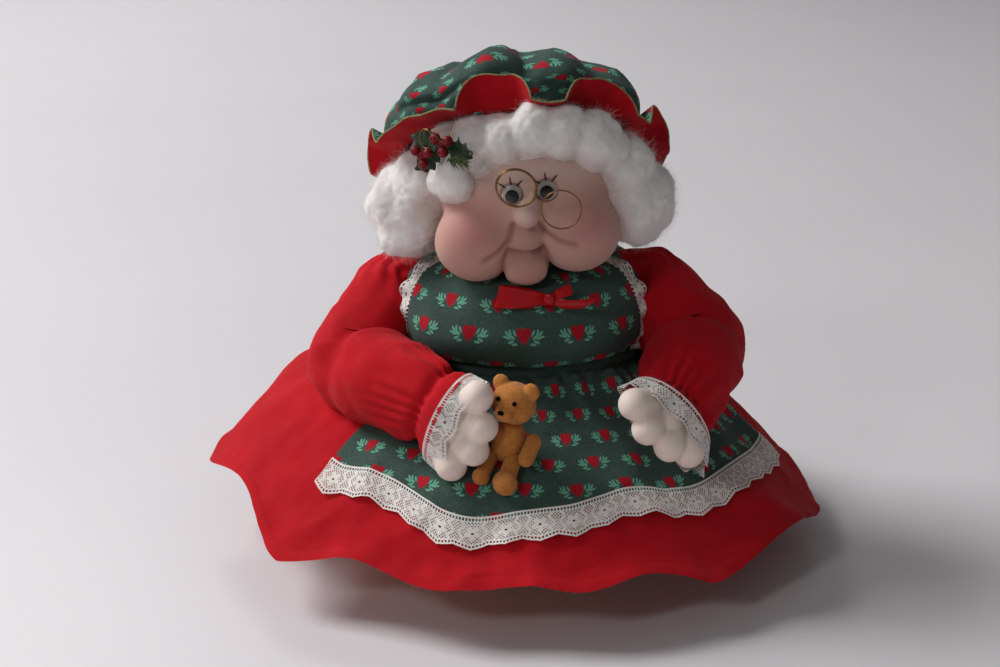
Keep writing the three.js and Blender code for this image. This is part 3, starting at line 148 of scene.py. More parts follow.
# Arms: places along each one are measured back from the middle of its fingers
SHOULDERS = {"right": (-62, -4, 127), "left": (64, -4, 128)}
ELBOWS = {"right": (-80, -34, 96), "left": (84, -32, 103)}
CUFF_AIMS = {"right": (0.7, -0.63, -0.33), "left": (-0.36, -0.91, -0.19)}
FINGERS = {
    "right": [(-21, -103, 103), (-19, -104, 89), (-23, -104, 78), (-33, -102, 70)],
    "left": [(49, -102, 99), (55, -104, 88), (65, -104, 80), (74, -101, 76)],
}
SLEEVE_RADII = [16, 21, 23, 24, 23, 22, 19]
SLEEVE_INSET = 16
SLEEVE_CLOTH = 24
SLEEVE_BEND = (-10, 16)
FINGER_RADIUS = 7.4
FINGER_SPREAD = 0.55
FINGER_LENGTH = 13
PALM_RADIUS = 9
WRIST_RADIUS = 8
PALM_BACK = 8
FLOUNCE_BACK = 11.5
WRIST_BACK = 24
FLOUNCE_RADIUS = 22
CUFF_SQUASH = 0.58
CUFF_LENGTH = 8
CUFF_CUT = 11
CUFF_RISE = 1.8
CUFF_TUCK = 2.5
CUFF_FLARE = {"right": 0.08, "left": 0.22}

# Head, measured from its middle
HEAD_CENTRE = (1, -22, 186)
HEAD_ROLL = -3
FACE_CORE = (0, -14, -8)
SKULL_RADII = (45, 43, 40)
CHEEK_RADII = (20, 17, 19)
CHEEK_RIGHT = (-23.5, -28, -23.8)
CHEEK_LEFT = (22.5, -28, -21.5)
NOSE_RADII = (6.4, 8, 7.2)
NOSE = (-0.5, -42.5, -8.4)
LIP_RADII = (8.8, 7, 7)
LIP = (-1.8, -37.2, -20.8)
CHIN_RADII = (11.2, 9.5, 8.8)
CHIN = (-2.2, -35, -35.6)
NOSE_BRIDGE_RADII = (3.0, 5.5, 5.5)
NOSE_BRIDGE = (3.0, -40.5, -3.5)
SMILE_LINES = [
    [(-7.0, -14.5), (-9.6, -22.0), (-14.7, -26.8), (-20.5, -30)],
    [(5.4, -14), (7.8, -18), (14.5, -22.2), (22, -24)],
    [(-10.2, -26), (-12.4, -32), (-13, -40)],
    [(6.6, -25.5), (8.6, -31), (9.2, -39)],
]
MOUTH_LINE = [(-9, -27), (-1.4, -27.9), (6.5, -27)]
EYE_RADIUS = 4.7
EYE_SINK = 1.4
DOME_WALL = 0.5
DOME_RIM = 1.15
EYES = {"right": (-6.6, 0.5), "left": (9.2, 1.6)}
PUPIL_RADIUS = 3.25
PUPIL_FALL = 1.15
LENS_RADIUS = 9
LENS_SPACING = 22.4
SPECTACLES_TILT = -29
SPECTACLES_CENTRE = (5.4, -52.35, 0.1)
SPECTACLES_WIRE = 0.34
BRIDGE_DEPTH = 10.2
BRIDGE_DROP = 1.5

# Hair, measured from the head's middle: the middle and radius of each ball
HAIR_RIGHT = [(-55, 4, -13, 21), (-50, -4, -2, 15), (-57, 0, -22, 15), (-43, 14, 4, 13)]
HAIR_LEFT = [(49, -6, -13, 21), (45, -13, 5, 15.5), (54, -3, -22, 14), (42, 11, 4, 13)]
HAIR_CURL = [(-31, -29, 8, 12), (-36, -26, 3, 9.5), (-34, -24, 19, 10), (-33, -17, 26, 9)]
HAIR_FRINGE = [
    (-24, -27, 23, 11), (-19, -32, 14, 9.5), (-9, -32, 24, 12), (4, -33, 27, 13), (17, -32, 26, 13.5),
    (30, -28, 21, 13), (39, -20, 13, 11),
]
NAPE_ROLL = [(-34, 29, -17), (0, 45, 7), (34, 29, -17)]
NAPE_RADIUS = 12
WISP_WIDTH = 0.05
WISP_CURL = 0.7

# Cap, measured from the middle of its brim; each flip of the ruffle has a middle, a half width and a tilt
CAP_OFFSET = (-3, 19.5, 7.2)
CAP_TILT = -32
CROWN = [(56, 0), (62, 14), (42.2, 34), (0, 40)]
CAP_CREASES = [
    (-176, 3), (-140, 3), (-104, 3), (-72, 3.5), (-36, 3.5), (4, 5), (42, 4), (84, 3), (132, 3),
]
CREASE_GAIN = 1.25
CROWN_CLOTH = 98
ELASTIC_RADIUS = 51
RUFFLE_RADIUS = 55
RUFFLE_WIDTH = 18
RUFFLE_CLOTH = 75
RUFFLE_HANG = -8
RUFFLE_FLIPS = [
    (-152, 11, 34), (-124, 9, 24), (-80, 12, 24), (-42, 14, -2), (-8, 10, 44), (34, 12, 40), (70, 9, 26),
    (121, 9, 26), (149, 10, 34), (178, 10, 36),
]

# Sprig and bear
SPRIG_SPOT = (-35.5, -38.5, 23)
SPRIG_TURN = -46
LEAF_TURNS = (-5, 170, 215)
LEAF_LENGTH = 20
LEAF_HALF = 6.6
BERRY_RADIUS = 2.5
BERRY_CLUSTERS = [((2.6, -4.15, 2.6), 71), ((-7.8, -7.25, -3.64), 72)]
BERRY_SPREAD = [(0, 0, 0), (1.5, 0, 0.6), (0.5, -0.3, -1.4), (-0.9, -0.7, 0.9)]
BERRY_SPACING = 2.6
PINE_FOOT = (7, -5.2, -4.2)
PINE_STEM = 12.5
SPRIG_LOOP = 4.4
SPRIG_WIRE = 0.28
BEAR_CENTRE = (-7, -95, 79)
BEAR_YAW = -28
BEAR_LEAN = 8
BEAR_BODY_RADII = (8.3, 7.8, 10.8)
BEAR_HEAD = [
    ((0, 0, 18.8), (10.4, 9.2, 9.8), 24, 32), ((0, -8.2, 16.4), (4.8, 4.4, 4.2)),
    ((-7.6, 0, 26.4), (4.2, 2.6, 4.2)), ((7.6, 0, 26.4), (4.2, 2.6, 4.2)),
]
BEAR_SHOULDER = (12.25, 0, 3.3)
BEAR_ARM = (0, -5.64, -6.5)
BEAR_ARM_RADIUS = 3.7
BEAR_HIP = (5.27, -4, -6.8)
BEAR_EYE_WAY = (0.42, -0.86, 0.28)
BEAR_EYE_REACH = 9.7
BEAR_EYE_RADIUS = 1.1
BEAR_FACE = (0, 0, 19.5)
BEAR_NOSE = (0, -12.6, 17.9)
BEAR_NOSE_RADII = (1.6, 1.1, 1.1)
FUZZ_COUNT = 2600
FUZZ_LENGTH = 1.3
FUZZ_WIDTH = 0.07

# Stage, in metres but for the floor and lens: place, aim, size and power of each lamp, then the camera
LAMPS = {
    "key": ((-2.0, 0.55, 2.1), (0, 0, 0.1), 1.3, 76),
    "back": ((-1.0, 2.4, 1.6), (-0.4, 2.6, 0), 1.0, 18),
    "fill": ((-0.7, -1.1, 0.9), (0, 0, 0.1), 0.2, 2.6),
}
CAMERA_AIM = (-0.011, 0, 0.1)
CAMERA_RISE = 17.5
CAMERA_DISTANCE = 0.9
CAMERA_LENS = 64.8
CAMERA_SENSOR = 36
EVEN_LIGHT = 0.13
BACKDROP = 0xD3CFD4
FLOOR_DROP = 0.3


# Places and curves
def turn(axis, degrees):
    c = math.cos(math.radians(degrees))
    s = math.sin(math.radians(degrees))
    rows = {
        "X": [(1, 0, 0), (0, c, -s), (0, s, c)],
        "Y": [(c, 0, s), (0, 1, 0), (-s, 0, c)],
        "Z": [(c, -s, 0), (s, c, 0), (0, 0, 1)],
    }
    return np.array(rows[axis])


def to_head(points):
    return np.asarray(points, float) @ turn("Y", HEAD_ROLL).T + HEAD_CENTRE


def to_cap(points):
    return to_head(np.asarray(points, float) @ turn("X", CAP_TILT).T + CAP_OFFSET)


def to_sprig(points):
    return to_head(np.asarray(points, float) @ turn("Z", SPRIG_TURN).T + SPRIG_SPOT)


def to_bear(points):
    return np.asarray(points, float) @ (turn("Z", BEAR_YAW) @ turn("Y", BEAR_LEAN)).T + BEAR_CENTRE


def unit(vectors):
    return vectors / np.maximum(np.linalg.norm(vectors, axis=-1, keepdims=True), 1e-9)


def smooth_step(value, low, high):
    share = np.clip((value - low) / (high - low), 0, 1)
    return share * share * (3 - 2 * share)


def bell(value, width):
    return np.exp(-(value / width) ** 2)


def bearing(angle, across, deep, z):
    return np.stack([across * np.sin(angle), -deep * np.cos(angle), z + 0 * angle], -1)


def fold_height(folds, angle):
    """Height of folds round a piece: sharp at each listed angle, with a round belly up to the next."""
    edges = np.radians([edge for edge, _ in folds] + [folds[0][0] + 360])
    heights = [height for _, height in folds] + [folds[0][1]]
    past = edges[0] + (angle - edges[0]) % (2 * np.pi)
    share = np.interp(past, edges, np.arange(len(edges))) % 1
    return np.interp(past, edges, heights) * (1 - 2 * np.sin(np.pi * share) ** FOLD_SHARPNESS)


def catmull(points, share):
    """Smooth curve through the given points."""
    points = np.array(points, float)
    ends = np.vstack([2 * points[0] - points[1], points, 2 * points[-1] - points[-2]])
    spot = np.clip(share, 0, 1) * (len(points) - 1)
    first = np.minimum(spot.astype(int), len(points) - 2)
    w = (spot - first)[..., None]
    p0, p1, p2, p3 = (ends[first + i] for i in range(4))
    knots = [np.linalg.norm(b - a, axis=-1, keepdims=True) ** 0.5 for a, b in ((p0, p1), (p1, p2), (p2, p3))]
    d0, d1, d2 = (np.maximum(knot, 1e-4) for knot in knots)
    t1 = ((p1 - p0) / d0 - (p2 - p0) / (d0 + d1) + (p2 - p1) / d1) * d1
    t2 = ((p2 - p1) / d1 - (p3 - p1) / (d1 + d2) + (p3 - p2) / d2) * d1
    return p1 + t1 * w + (3 * (p2 - p1) - 2 * t1 - t2) * w**2 + (2 * (p1 - p2) + t1 + t2) * w**3


def run_along(points):
    """Length of a line of points up to each of them."""
    return np.concatenate([[0], np.cumsum(np.linalg.norm(np.diff(points, axis=0), axis=1))])


def even_path(points, count):
    """Points spread evenly along a smooth curve, with its directions and length."""
    fine = catmull(points, np.linspace(0, 1, 400))
    length = run_along(fine)
    spots = np.linspace(0, length[-1], count)
    path = np.stack([np.interp(spots, length, fine[:, i]) for i in range(3)], -1)
    return path, unit(np.gradient(path, axis=0)), length[-1]


def ripple(points, size, seed, count=14):
    """Smooth random bumps of about the given size, mostly from -1 to 1."""
    rng = np.random.default_rng(seed)
    waves = unit(rng.normal(size=(count, 3))) * (2 * np.pi / size) * rng.uniform(0.6, 1.3, (count, 1))
    phases = rng.uniform(0, 2 * np.pi, count)
    return np.sin(points @ waves.T + phases).sum(-1) / math.sqrt(count)


def lifted(surface, angle, along, height):
    """Points of a surface moved outwards along its normal."""
    step = 1e-3
    across = surface(angle + step, along) - surface(angle - step, along)
    upward = surface(angle, along + step) - surface(angle, along - step)
    normal = unit(np.cross(across, upward))
    return surface(angle, along) + normal * (np.zeros_like(angle) + height)[..., None]


# Meshes
def grid_faces(rows, columns, wrap=False):
    last = columns if wrap else columns - 1
    i, j = np.meshgrid(np.arange(rows - 1), np.arange(last), indexing="ij")
    k = (j + 1) % columns
    corners = [i * columns + j, i * columns + k, (i + 1) * columns + k, (i + 1) * columns + j]
    return np.stack(corners, -1).reshape(-1, 4)


def grid_corners(uv):
    """Cloth places of each quad's corners; a wrapped grid has one more column of places."""
    return np.stack([uv[:-1, :-1], uv[:-1, 1:], uv[1:, 1:], uv[1:, :-1]], 2).reshape(-1, 2)


def placed(name, mesh, material):
    mesh.polygons.foreach_set("use_smooth", np.full(len(mesh.polygons), True))
    mesh.materials.clear()
    mesh.materials.append(material)
    obj = bpy.data.objects.new(name, mesh)
    bpy.context.scene.collection.objects.link(obj)
    return obj


def mesh_object(name, points, faces, material, corners=None):
    mesh = bpy.data.meshes.new(name)
    points = np.asarray(points, float).reshape(-1, 3) * MM
    mesh.from_pydata(points.tolist(), [], [list(face) for face in faces])
    if corners is not None:
        layer = mesh.uv_layers.new(name="cloth")
        layer.data.foreach_set("uv", np.asarray(corners, float).ravel())
    mesh.update()
    return placed(name, mesh, material)


def cloth_object(name, points, uv, material, wrap=False, keep=None):
    """Cloth on a grid of points, with its places on the flat cut; keep leaves holes in lace."""
    rows, columns = points.shape[:2]
    faces = grid_faces(rows, columns, wrap)
    corners = grid_corners(uv)
    if keep is not None:
        mask = keep.ravel()
        faces = faces[mask]
        corners = corners.reshape(-1, 4, 2)[mask].reshape(-1, 2)
    return mesh_object(name, points, faces.tolist(), material, corners)


def closed_object(name, rings, material, first=None, last=None):
    """Rings of points closed by a fan at each end."""
    rows, columns = rings.shape[:2]
    points = list(rings.reshape(-1, 3))
    faces = grid_faces(rows, columns, True).tolist()
    for end, row in ((first, 0), (last, rows - 1)):
        if end is None:
            continue
        points.append(np.asarray(end, float))
        ring = [row * columns + j for j in range(columns)]
        for j in range(columns):
            pair = [ring[j], ring[(j + 1) % columns]]
            faces.append([len(points) - 1] + (pair[::-1] if row == 0 else pair))
    return mesh_object(name, points, faces, material)


def rounded(name, rings, material):
    return closed_object(name, rings, kit[material], rings[0].mean(0), rings[-1].mean(0))


def sphere_directions(rows, columns, crowd=1.0):
    """Directions ring by ring from the front, -Y, to the back, closer together in front."""
    theta = np.pi * np.linspace(0, 1, rows + 2)[1:-1, None] ** crowd
    phi = np.linspace(0, 2 * np.pi, columns, endpoint=False)[None, :]
    flat = np.sin(theta)
    return np.stack([flat * np.sin(phi), -np.cos(theta) + 0 * phi, flat * np.cos(phi)], -1)


def tube_object(name, paths, radius, material, sides=8, closed=False):
    """Round wire along one or more paths."""
    points, faces = [], []
    for path in paths:
        path = np.asarray(path, float)
        ahead = np.roll(path, -1, 0) - np.roll(path, 1, 0) if closed else np.gradient(path, axis=0)
        ahead = unit(ahead)
        guide = np.array([0.31, 0.2, 0.93])
        across = unit(np.cross(ahead, guide))
        above = np.cross(across, ahead)
        around = np.linspace(0, 2 * np.pi, sides, endpoint=False)
        wide = np.broadcast_to(radius, len(path))[:, None, None]
        ring = path[:, None] + wide * (
            across[:, None] * np.cos(around)[None, :, None] + above[:, None] * np.sin(around)[None, :, None]
        )
        start = sum(len(p) for p in points)
        quads = grid_faces(len(path), sides, True)
        if closed:
            j = np.arange(sides)
            k = (j + 1) % sides
            tail = (len(path) - 1) * sides
            quads = np.vstack([quads, np.stack([tail + j, tail + k, k, j], -1)])
        faces += (quads + start).tolist()
        points.append(ring.reshape(-1, 3))
    return mesh_object(name, np.vstack(points), faces, material)


def fibres(name, roots, normals, count, length, width, curl, material, seed, steps=5):
    """Fine curved hairs that start on a surface."""
    rng = np.random.default_rng(seed)
    pick = rng.integers(0, len(roots), count)
    start, out = roots[pick], normals[pick]
    side = unit(np.cross(out, rng.normal(size=(count, 3))))
    sweep = unit(np.cross(out, rng.normal(size=(count, 3))))
    lean = rng.uniform(0.45, 1.0, (count, 1))
    long = length * rng.uniform(0.5, 1.2, (count, 1))
    share = np.linspace(0, 1, steps)
    path = start[:, None] - out[:, None] * 0.3
    path = path + (out * (1 - lean) + side * lean)[:, None] * (long[:, :, None] * share[None, :, None])
    path = path + sweep[:, None] * curl * (long[:, :, None] * (share**2)[None, :, None])
    path = path - out[:, None] * (0.35 * long[:, :, None] * (share**2)[None, :, None])
    flat = unit(np.cross(side, out))[:, None] * (width * (1 - 0.6 * share))[None, :, None]
    points = np.stack([path - flat, path + flat], 2)
    quads = grid_faces(steps, 2)
    base = (np.arange(count) * steps * 2)[:, None, None]
    return mesh_object(name, points, (quads[None] + base).reshape(-1, 4).tolist(), material)


def surface_normals(obj):
    mesh = obj.data
    normals = np.empty(len(mesh.vertices) * 3)
    mesh.vertices.foreach_get("normal", normals)
    spots = np.empty(len(mesh.vertices) * 3)
    mesh.vertices.foreach_get("co", spots)
    return spots.reshape(-1, 3) / MM, normals.reshape(-1, 3)


def paint(obj, name, values):
    layer = obj.data.attributes.new(name, "FLOAT", "POINT")
    layer.data.foreach_set("value", np.asarray(values, float).ravel())


def fuse(name, parts, voxel, smoothing, material):
    """One skin over overlapping round forms."""
    points, faces = [], []
    for part in parts:
        start = sum(len(p) for p in points)
        rows, columns = part.shape[:2]
        ends = np.stack([part[0].mean(0), part[-1].mean(0)])
        points.append(np.vstack([part.reshape(-1, 3), ends]))
        faces += (grid_faces(rows, columns, True) + start).tolist()
        total = start + rows * columns
        for j in range(columns):
            k = (j + 1) % columns
            faces.append([total, start + k, start + j])
            tail = start + (rows - 1) * columns
            faces.append([total + 1, tail + j, tail + k])
    raw = mesh_object(name + "_raw", np.vstack(points), faces, material)
    remesh = raw.modifiers.new("skin", "REMESH")
    remesh.mode = "VOXEL"
    remesh.voxel_size = voxel * MM
    soften = raw.modifiers.new("soften", "SMOOTH")
    soften.factor = 0.5
    soften.iterations = smoothing
    mesh = bpy.data.meshes.new_from_object(raw.evaluated_get(bpy.context.evaluated_depsgraph_get()))
    bpy.data.objects.remove(raw)
    mesh.name = name
    return placed(name, mesh, material)


def ball_part(centre, radii, rows=14, columns=20):
    return np.asarray(centre, float) + sphere_directions(rows, columns) * radii


def capsule_part(start, end, radius, rows=9, columns=20):
    start, end = np.asarray(start, float), np.asarray(end, float)
    ahead = unit(end - start)
    across = unit(np.cross(ahead, (0.3, 0.2, 0.9)))
    above = np.cross(across, ahead)
    phi = np.linspace(0, 2 * np.pi, columns, endpoint=False)
    around = across * np.cos(phi)[:, None] + above * np.sin(phi)[:, None]
    rings = []
    for centre, bend in ((start, np.linspace(-88, 0, rows)), (end, np.linspace(0, 88, rows))):
        for degrees in bend:
            rise = math.sin(math.radians(degrees))
            rings.append(centre + radius * (ahead * rise + around * math.cos(math.radians(degrees))))
    return np.array(rings)


# Fitting pieces to the frame
def fit(obj, body, node=None):
    """Ties a piece to its body, and hides the frame's part for its node."""
    # Blender adds a number where the frame has a material of the same name
    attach(obj, body)
    if node:
        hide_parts(node)
    return obj


def pad(obj, body, node):
    fit(obj, body, node)


def flat_cut(obj):
    """Reads the cloth places of a sheet and scales them to metres."""
    mesh = obj.data
    uv = np.empty(len(mesh.loops) * 2)
    mesh.uv_layers["cloth"].data.foreach_get("uv", uv)
    uv = uv.reshape(-1, 4, 2) * MM


def sheet(name, node, points, uv, material, body="torso", wrap=False, keep=None):
    cloth = cloth_object(name, points, uv, kit[material], wrap, keep)
    flat_cut(fit(cloth, body, node))


def band_places(rows, columns, reach):
    """Cloth places of a wrapped grid, with the reach of its cloth from the axis and a place for each row."""
    return np.stack(np.meshgrid(np.linspace(-np.pi, np.pi, columns + 1) * reach, rows), -1)


# Materials
def colour(value):
    parts = [(value >> shift & 255) / 255 for shift in (16, 8, 0)]
    return tuple(p / 12.92 if p <= 0.04045 else ((p + 0.055) / 1.055) ** 2.4 for p in parts) + (1,)


class Field:
    """A number that varies over a surface, worked out by math nodes."""

    def __init__(self, tree, socket):
        self.tree = tree
        self.socket = socket

    def math(self, operation, *others):
        node = self.tree.nodes.new("ShaderNodeMath")
        node.operation = operation
        for place, value in zip(node.inputs, (self, *others)):
            if isinstance(value, Field):
                self.tree.links.new(value.socket, place)
            else:
                place.default_value = value
        return Field(self.tree, node.outputs[0])

    def __add__(self, other):
        return self.math("ADD", other)

    def __sub__(self, other):
        return self.math("SUBTRACT", other)

    def __mul__(self, other):
        return self.math("MULTIPLY", other)

    def __truediv__(self, other):
        return self.math("DIVIDE", other)

    def below(self, edge, blur):
        """1 where the number is under the edge, fading over the blur."""
        node = self.tree.nodes.new("ShaderNodeMapRange")
        node.interpolation_type = "SMOOTHSTEP"
        self.tree.links.new(self.socket, node.inputs["Value"])
        node.inputs["From Min"].default_value = edge - blur
        node.inputs["From Max"].default_value = edge + blur
        node.inputs["To Min"].default_value = 1
        node.inputs["To Max"].default_value = 0
        return Field(self.tree, node.outputs["Result"])

    def above(self, edge, blur):
        return self.below(edge, blur) * -1 + 1


class Finish:
    """A material and its shader, with helpers for the detail on it."""

    def __init__(self, name, base, roughness, **sockets):
        self.material = bpy.data.materials.new(name)
        self.material.use_nodes = True
        self.tree = self.material.node_tree
        self.shader = self.tree.nodes["Principled BSDF"]
        self.base = colour(base)
        self.shader.inputs["Base Color"].default_value = self.base
        self.shader.inputs["Roughness"].default_value = roughness
        for key, value in sockets.items():
            self.shader.inputs[key.replace("_", " ")].default_value = value
        self.paint_socket = None
        self.normal_socket = None

    def node(self, kind, **inputs):
        """New node; an input is a number, or the socket that feeds it."""
        node = self.tree.nodes.new("ShaderNode" + kind)
        for key, value in inputs.items():
            place = node.inputs[key.replace("_", " ")]
            if isinstance(value, bpy.types.NodeSocket):
                self.tree.links.new(value, place)
            else:
                place.default_value = value
        return node

    def place(self, kind):
        return self.node("TexCoord").outputs[kind]

    def cloth_places(self):
        split = self.node("SeparateXYZ", Vector=self.place("UV"))
        return Field(self.tree, split.outputs[0]), Field(self.tree, split.outputs[1])

    def noise(self, size, detail=3.0, roughness=0.55):
        """Soft noise with lumps of the given size in millimetres."""
        place = self.place("Object")
        node = self.node("TexNoise", Scale=1 / (size * MM), Detail=detail, Roughness=roughness, Vector=place)
        return Field(self.tree, node.outputs["Fac"])

    def attribute(self, name):
        node = self.node("Attribute")
        node.attribute_name = name
        return Field(self.tree, node.outputs["Fac"])

    def tint(self, factor, value):
        """Paints another colour over the base by a varying amount."""
        node = self.node("Mix")
        node.data_type = "RGBA"
        self.tree.links.new(factor.socket, node.inputs["Factor"])
        if self.paint_socket is None:
            node.inputs[6].default_value = self.base
        else:
            self.tree.links.new(self.paint_socket, node.inputs[6])
        node.inputs[7].default_value = colour(value)
        self.paint_socket = node.outputs[2]
        self.tree.links.new(self.paint_socket, self.shader.inputs["Base Color"])
        return self

    def spots(self, size, share, value, detail=3.0, edge=0.5, blur=0.3):
        """Paints another colour in soft lumps."""
        return self.tint(self.noise(size, detail).above(edge, blur) * share, value)

    def bump(self, height, depth, strength=1.0):
        node = self.node("Bump", Strength=strength, Distance=depth * MM, Height=height.socket)
        if self.normal_socket is not None:
            self.tree.links.new(self.normal_socket, node.inputs["Normal"])
        self.normal_socket = node.outputs["Normal"]
        self.tree.links.new(self.normal_socket, self.shader.inputs["Normal"])
        return self

    def rough(self, factor, low, high):
        node = self.node("MapRange", Value=factor.socket, To_Min=low, To_Max=high)
        self.tree.links.new(node.outputs["Result"], self.shader.inputs["Roughness"])
        return self

    def weave(self, pitch, depth):
        warp, weft = ((way * (math.pi / pitch)).math("SINE").math("ABSOLUTE") for way in self.cloth_places())
        return self.bump(warp * weft, depth, 0.6)


def cotton(name, base, dark):
    finish = Finish(name, base, 0.82, Sheen_Weight=0.04, Specular_IOR_Level=0.12)
    finish.spots(28, 0.35, dark, 2, 0.52, 0.25).spots(1.4, 0.25, dark, 4, 0.55, 0.2)
    finish.rough(finish.noise(6), 0.72, 0.95).weave(0.55, 0.12)
    return finish.bump(finish.noise(9, 5), 0.5, 0.5)


def leaf_mask(x, y, centre, half, degrees):
    c, s = math.cos(math.radians(degrees)), math.sin(math.radians(degrees))
    dx, dy = x - centre[0], y - centre[1]
    along = (dx * c + dy * s) / half[0]
    across = (dy * c - dx * s) / half[1]
    return (along * along + across * across).below(1.0, 0.25)


def calico(name, base):
    """Cotton with a heart between two sprigs in each repeat, and rows that shift by half of one."""
    finish = Finish(name, base, 0.8, Sheen_Weight=0.05, Specular_IOR_Level=0.15)
    finish.spots(24, 0.4, 0x24352F, 2, 0.5, 0.25).spots(1.2, 0.2, 0x6E8279, 4, 0.55, 0.2)
    u, v = finish.cloth_places()
    shift = (v / PRINT_ROW).math("FLOOR").math("FLOORED_MODULO", 2.0) * 0.5
    x = ((u / PRINT_ACROSS + shift).math("FRACT") - 0.5) * PRINT_ACROSS
    y = ((v / PRINT_ROW).math("FRACT") - 0.5) * PRINT_ROW
    side = x.math("ABSOLUTE")
    leaves = leaf_mask(side, y, *PRINT_SPRIG[0])
    for leaf in PRINT_SPRIG[1:]:
        leaves = leaves.math("MAXIMUM", leaf_mask(side, y, *leaf))
    finish.tint(leaves * 0.9, 0x6FB79A)
    hx, hy = side / HEART_HALF_WIDTH, y / HEART_HALF_WIDTH
    lobe = hy * 1.15 - hx.math("SQRT") * 0.85
    finish.tint((hx * hx + lobe * lobe).below(1.0, 0.12), 0xB01526)
    finish.rough(finish.noise(6), 0.7, 0.92).weave(0.5, 0.1)
    return finish.bump(finish.noise(8, 5), 0.4, 0.5)


def nylon():
    """Stocking with a fine knit, painted blush, painted shade in its creases and over the lip and chin, and
    paler parts with a painted highlight on the nose.
    """
    skin = Finish(
        "nylon_skin", 0xC39A8C, 0.62, Subsurface_Weight=0.12, Sheen_Weight=0.12, Specular_IOR_Level=0.25,
    )
    skin.shader.inputs["Subsurface Radius"].default_value = (0.004, 0.002, 0.0012)
    skin.spots(14, 0.3, 0xCFA38C)
    # Painted shade: darker in the creases, and over the lip and chin, where the stocking also lies doubled
    skin.tint(skin.attribute("crease_and_shade") * 0.75, 0x8E5747)
    skin.tint(skin.attribute("blush") * 0.7, 0xC47C7A)
    # Paler parts: the hands, the top of the face, and a painted highlight on the nose
    skin.tint(skin.attribute("pale") * 0.7, 0xF8E6DA)
    knit = skin.node("TexWave", Scale=300, Distortion=1.5, Vector=skin.place("Object"))
    skin.bump(Field(skin.tree, knit.outputs["Fac"]), 0.05, 0.5)
    return skin.bump(skin.noise(3, 4), 0.15, 0.5)


def fluff():
    """White fibre, darker where the painted places say that skin shows through."""
    hair = Finish("white_fibre", 0xF3F0EE, 0.9, Subsurface_Weight=0.35, Sheen_Weight=0.4)
    hair.shader.inputs["Subsurface Radius"].default_value = (0.006, 0.006, 0.006)
    hair.spots(9, 0.25, 0xDCD7D4, 3, 0.52, 0.25)
    hair.tint(hair.attribute("thin") * 0.6, 0xC7A799)
    hair.bump(hair.noise(14, 3), 2.0, 0.3)
    return hair.bump(hair.noise(1.2, 5, 0.7), 0.35, 0.35)


def make_materials():
    lace = Finish("lace_thread", 0xF0EBE6, 0.9, Sheen_Weight=0.3).spots(5, 0.4, 0xDDD5CE)
    satin = Finish("satin_ribbon", 0xC20710, 0.26, Specular_IOR_Level=0.35).spots(6, 0.4, 0x8C0812, 2)
    wire = Finish("gold_wire", 0x9A7448, 0.28, Metallic=1.0).spots(3, 0.5, 0x5F4226)
    clear = Finish("eye_clear", 0xFFFFFF, 0.03, Transmission_Weight=1.0, IOR=1.33)
    black = Finish("black_plastic", 0x050505, 0.2, Specular_IOR_Level=0.06)
    flock = Finish("bear_flock", 0xCB7E30, 0.95, Sheen_Weight=0.15)
    flock.spots(1.6, 0.5, 0x9A5A1E, 5, 0.5, 0.15).spots(5, 0.3, 0xDDA056, 3, 0.55, 0.2)
    leaf = Finish("holly_leaf", 0x18291A, 0.5, Specular_IOR_Level=0.25).spots(4, 0.6, 0x2A3C22)
    berry = Finish("holly_berry", 0x7A0C16, 0.45, Specular_IOR_Level=0.25)
    card = Finish("base_card", 0x9B7B55, 0.9).spots(2.5, 0.5, 0x7E6040, 5, 0.5, 0.2)
    finishes = {
        "red": cotton("red_cotton_cloth", 0xC4101E, 0x9C0A15),
        "lining": cotton("red_lining_cloth", 0xB8101C, 0x8A0812),
        "print": calico("green_print_cloth", 0x3E544D),
        "muslin": cotton("muslin_cloth", 0xD8C6AE, 0xC4AF92),
        "lace": lace.bump(lace.noise(0.7), 0.25),
        "skin": nylon(),
        "hair": fluff(),
        "satin": satin.bump((satin.cloth_places()[0] * 9.0).math("SINE"), 0.05, 0.5),
        "wire": wire.rough(wire.noise(2), 0.2, 0.42),
        "thread": Finish("edge_thread", 0x5E6A45, 0.75).spots(1.5, 0.7, 0xA99A63, blur=0.2),
        "eye_white": Finish("eye_white", 0xD0CAC4, 0.5).spots(2, 0.3, 0xBAB3AB),
        "eye_clear": clear.rough(clear.noise(2), 0.02, 0.06),
        "black": black.rough(black.noise(1.5), 0.12, 0.3),
        "lash": Finish("lash_ink", 0x3A2119, 0.8).spots(0.6, 0.5, 0x5A3A2C, blur=0.2),
        "flock": flock.bump(flock.noise(0.45, 4), 0.5, 0.9),
        "leaf": leaf.bump(leaf.noise(1.5, 4), 0.4),
        "needle": Finish("pine_needle", 0x2C4A22, 0.6).spots(2, 0.7, 0x6C7A3C, blur=0.25),
        "berry": berry.spots(1.5, 0.6, 0x5E070C, edge=0.55, blur=0.2),
        "card": card.bump(card.noise(0.8, 5), 0.2),
    }
    return {key: finish.material for key, finish in finishes.items()}


kit = make_materials()


# Body under the dress
def body_surface(angle, along):
    across, deep, height = np.moveaxis(catmull(BODY, along + 0 * angle), -1, 0)
    return bearing(angle, across, deep, height)


def body_row(height):
    rows = np.linspace(WAIST_ROW, 1, 400)
    return float(np.interp(height, catmull(BODY, rows)[:, 2], rows))


def round_grid(rows, columns):
    along, angle = np.meshgrid(rows, np.linspace(-np.pi, np.pi, columns, endpoint=False), indexing="ij")
    return angle, along


def turned(profile):
    """Points round the upright axis, from a profile of radius and height."""
    radius, height = profile[:, :1], profile[:, 1:]
    around = np.linspace(0, 2 * np.pi, 60, endpoint=False)[None, :]
    return bearing(around + 0 * radius, radius, radius, height)


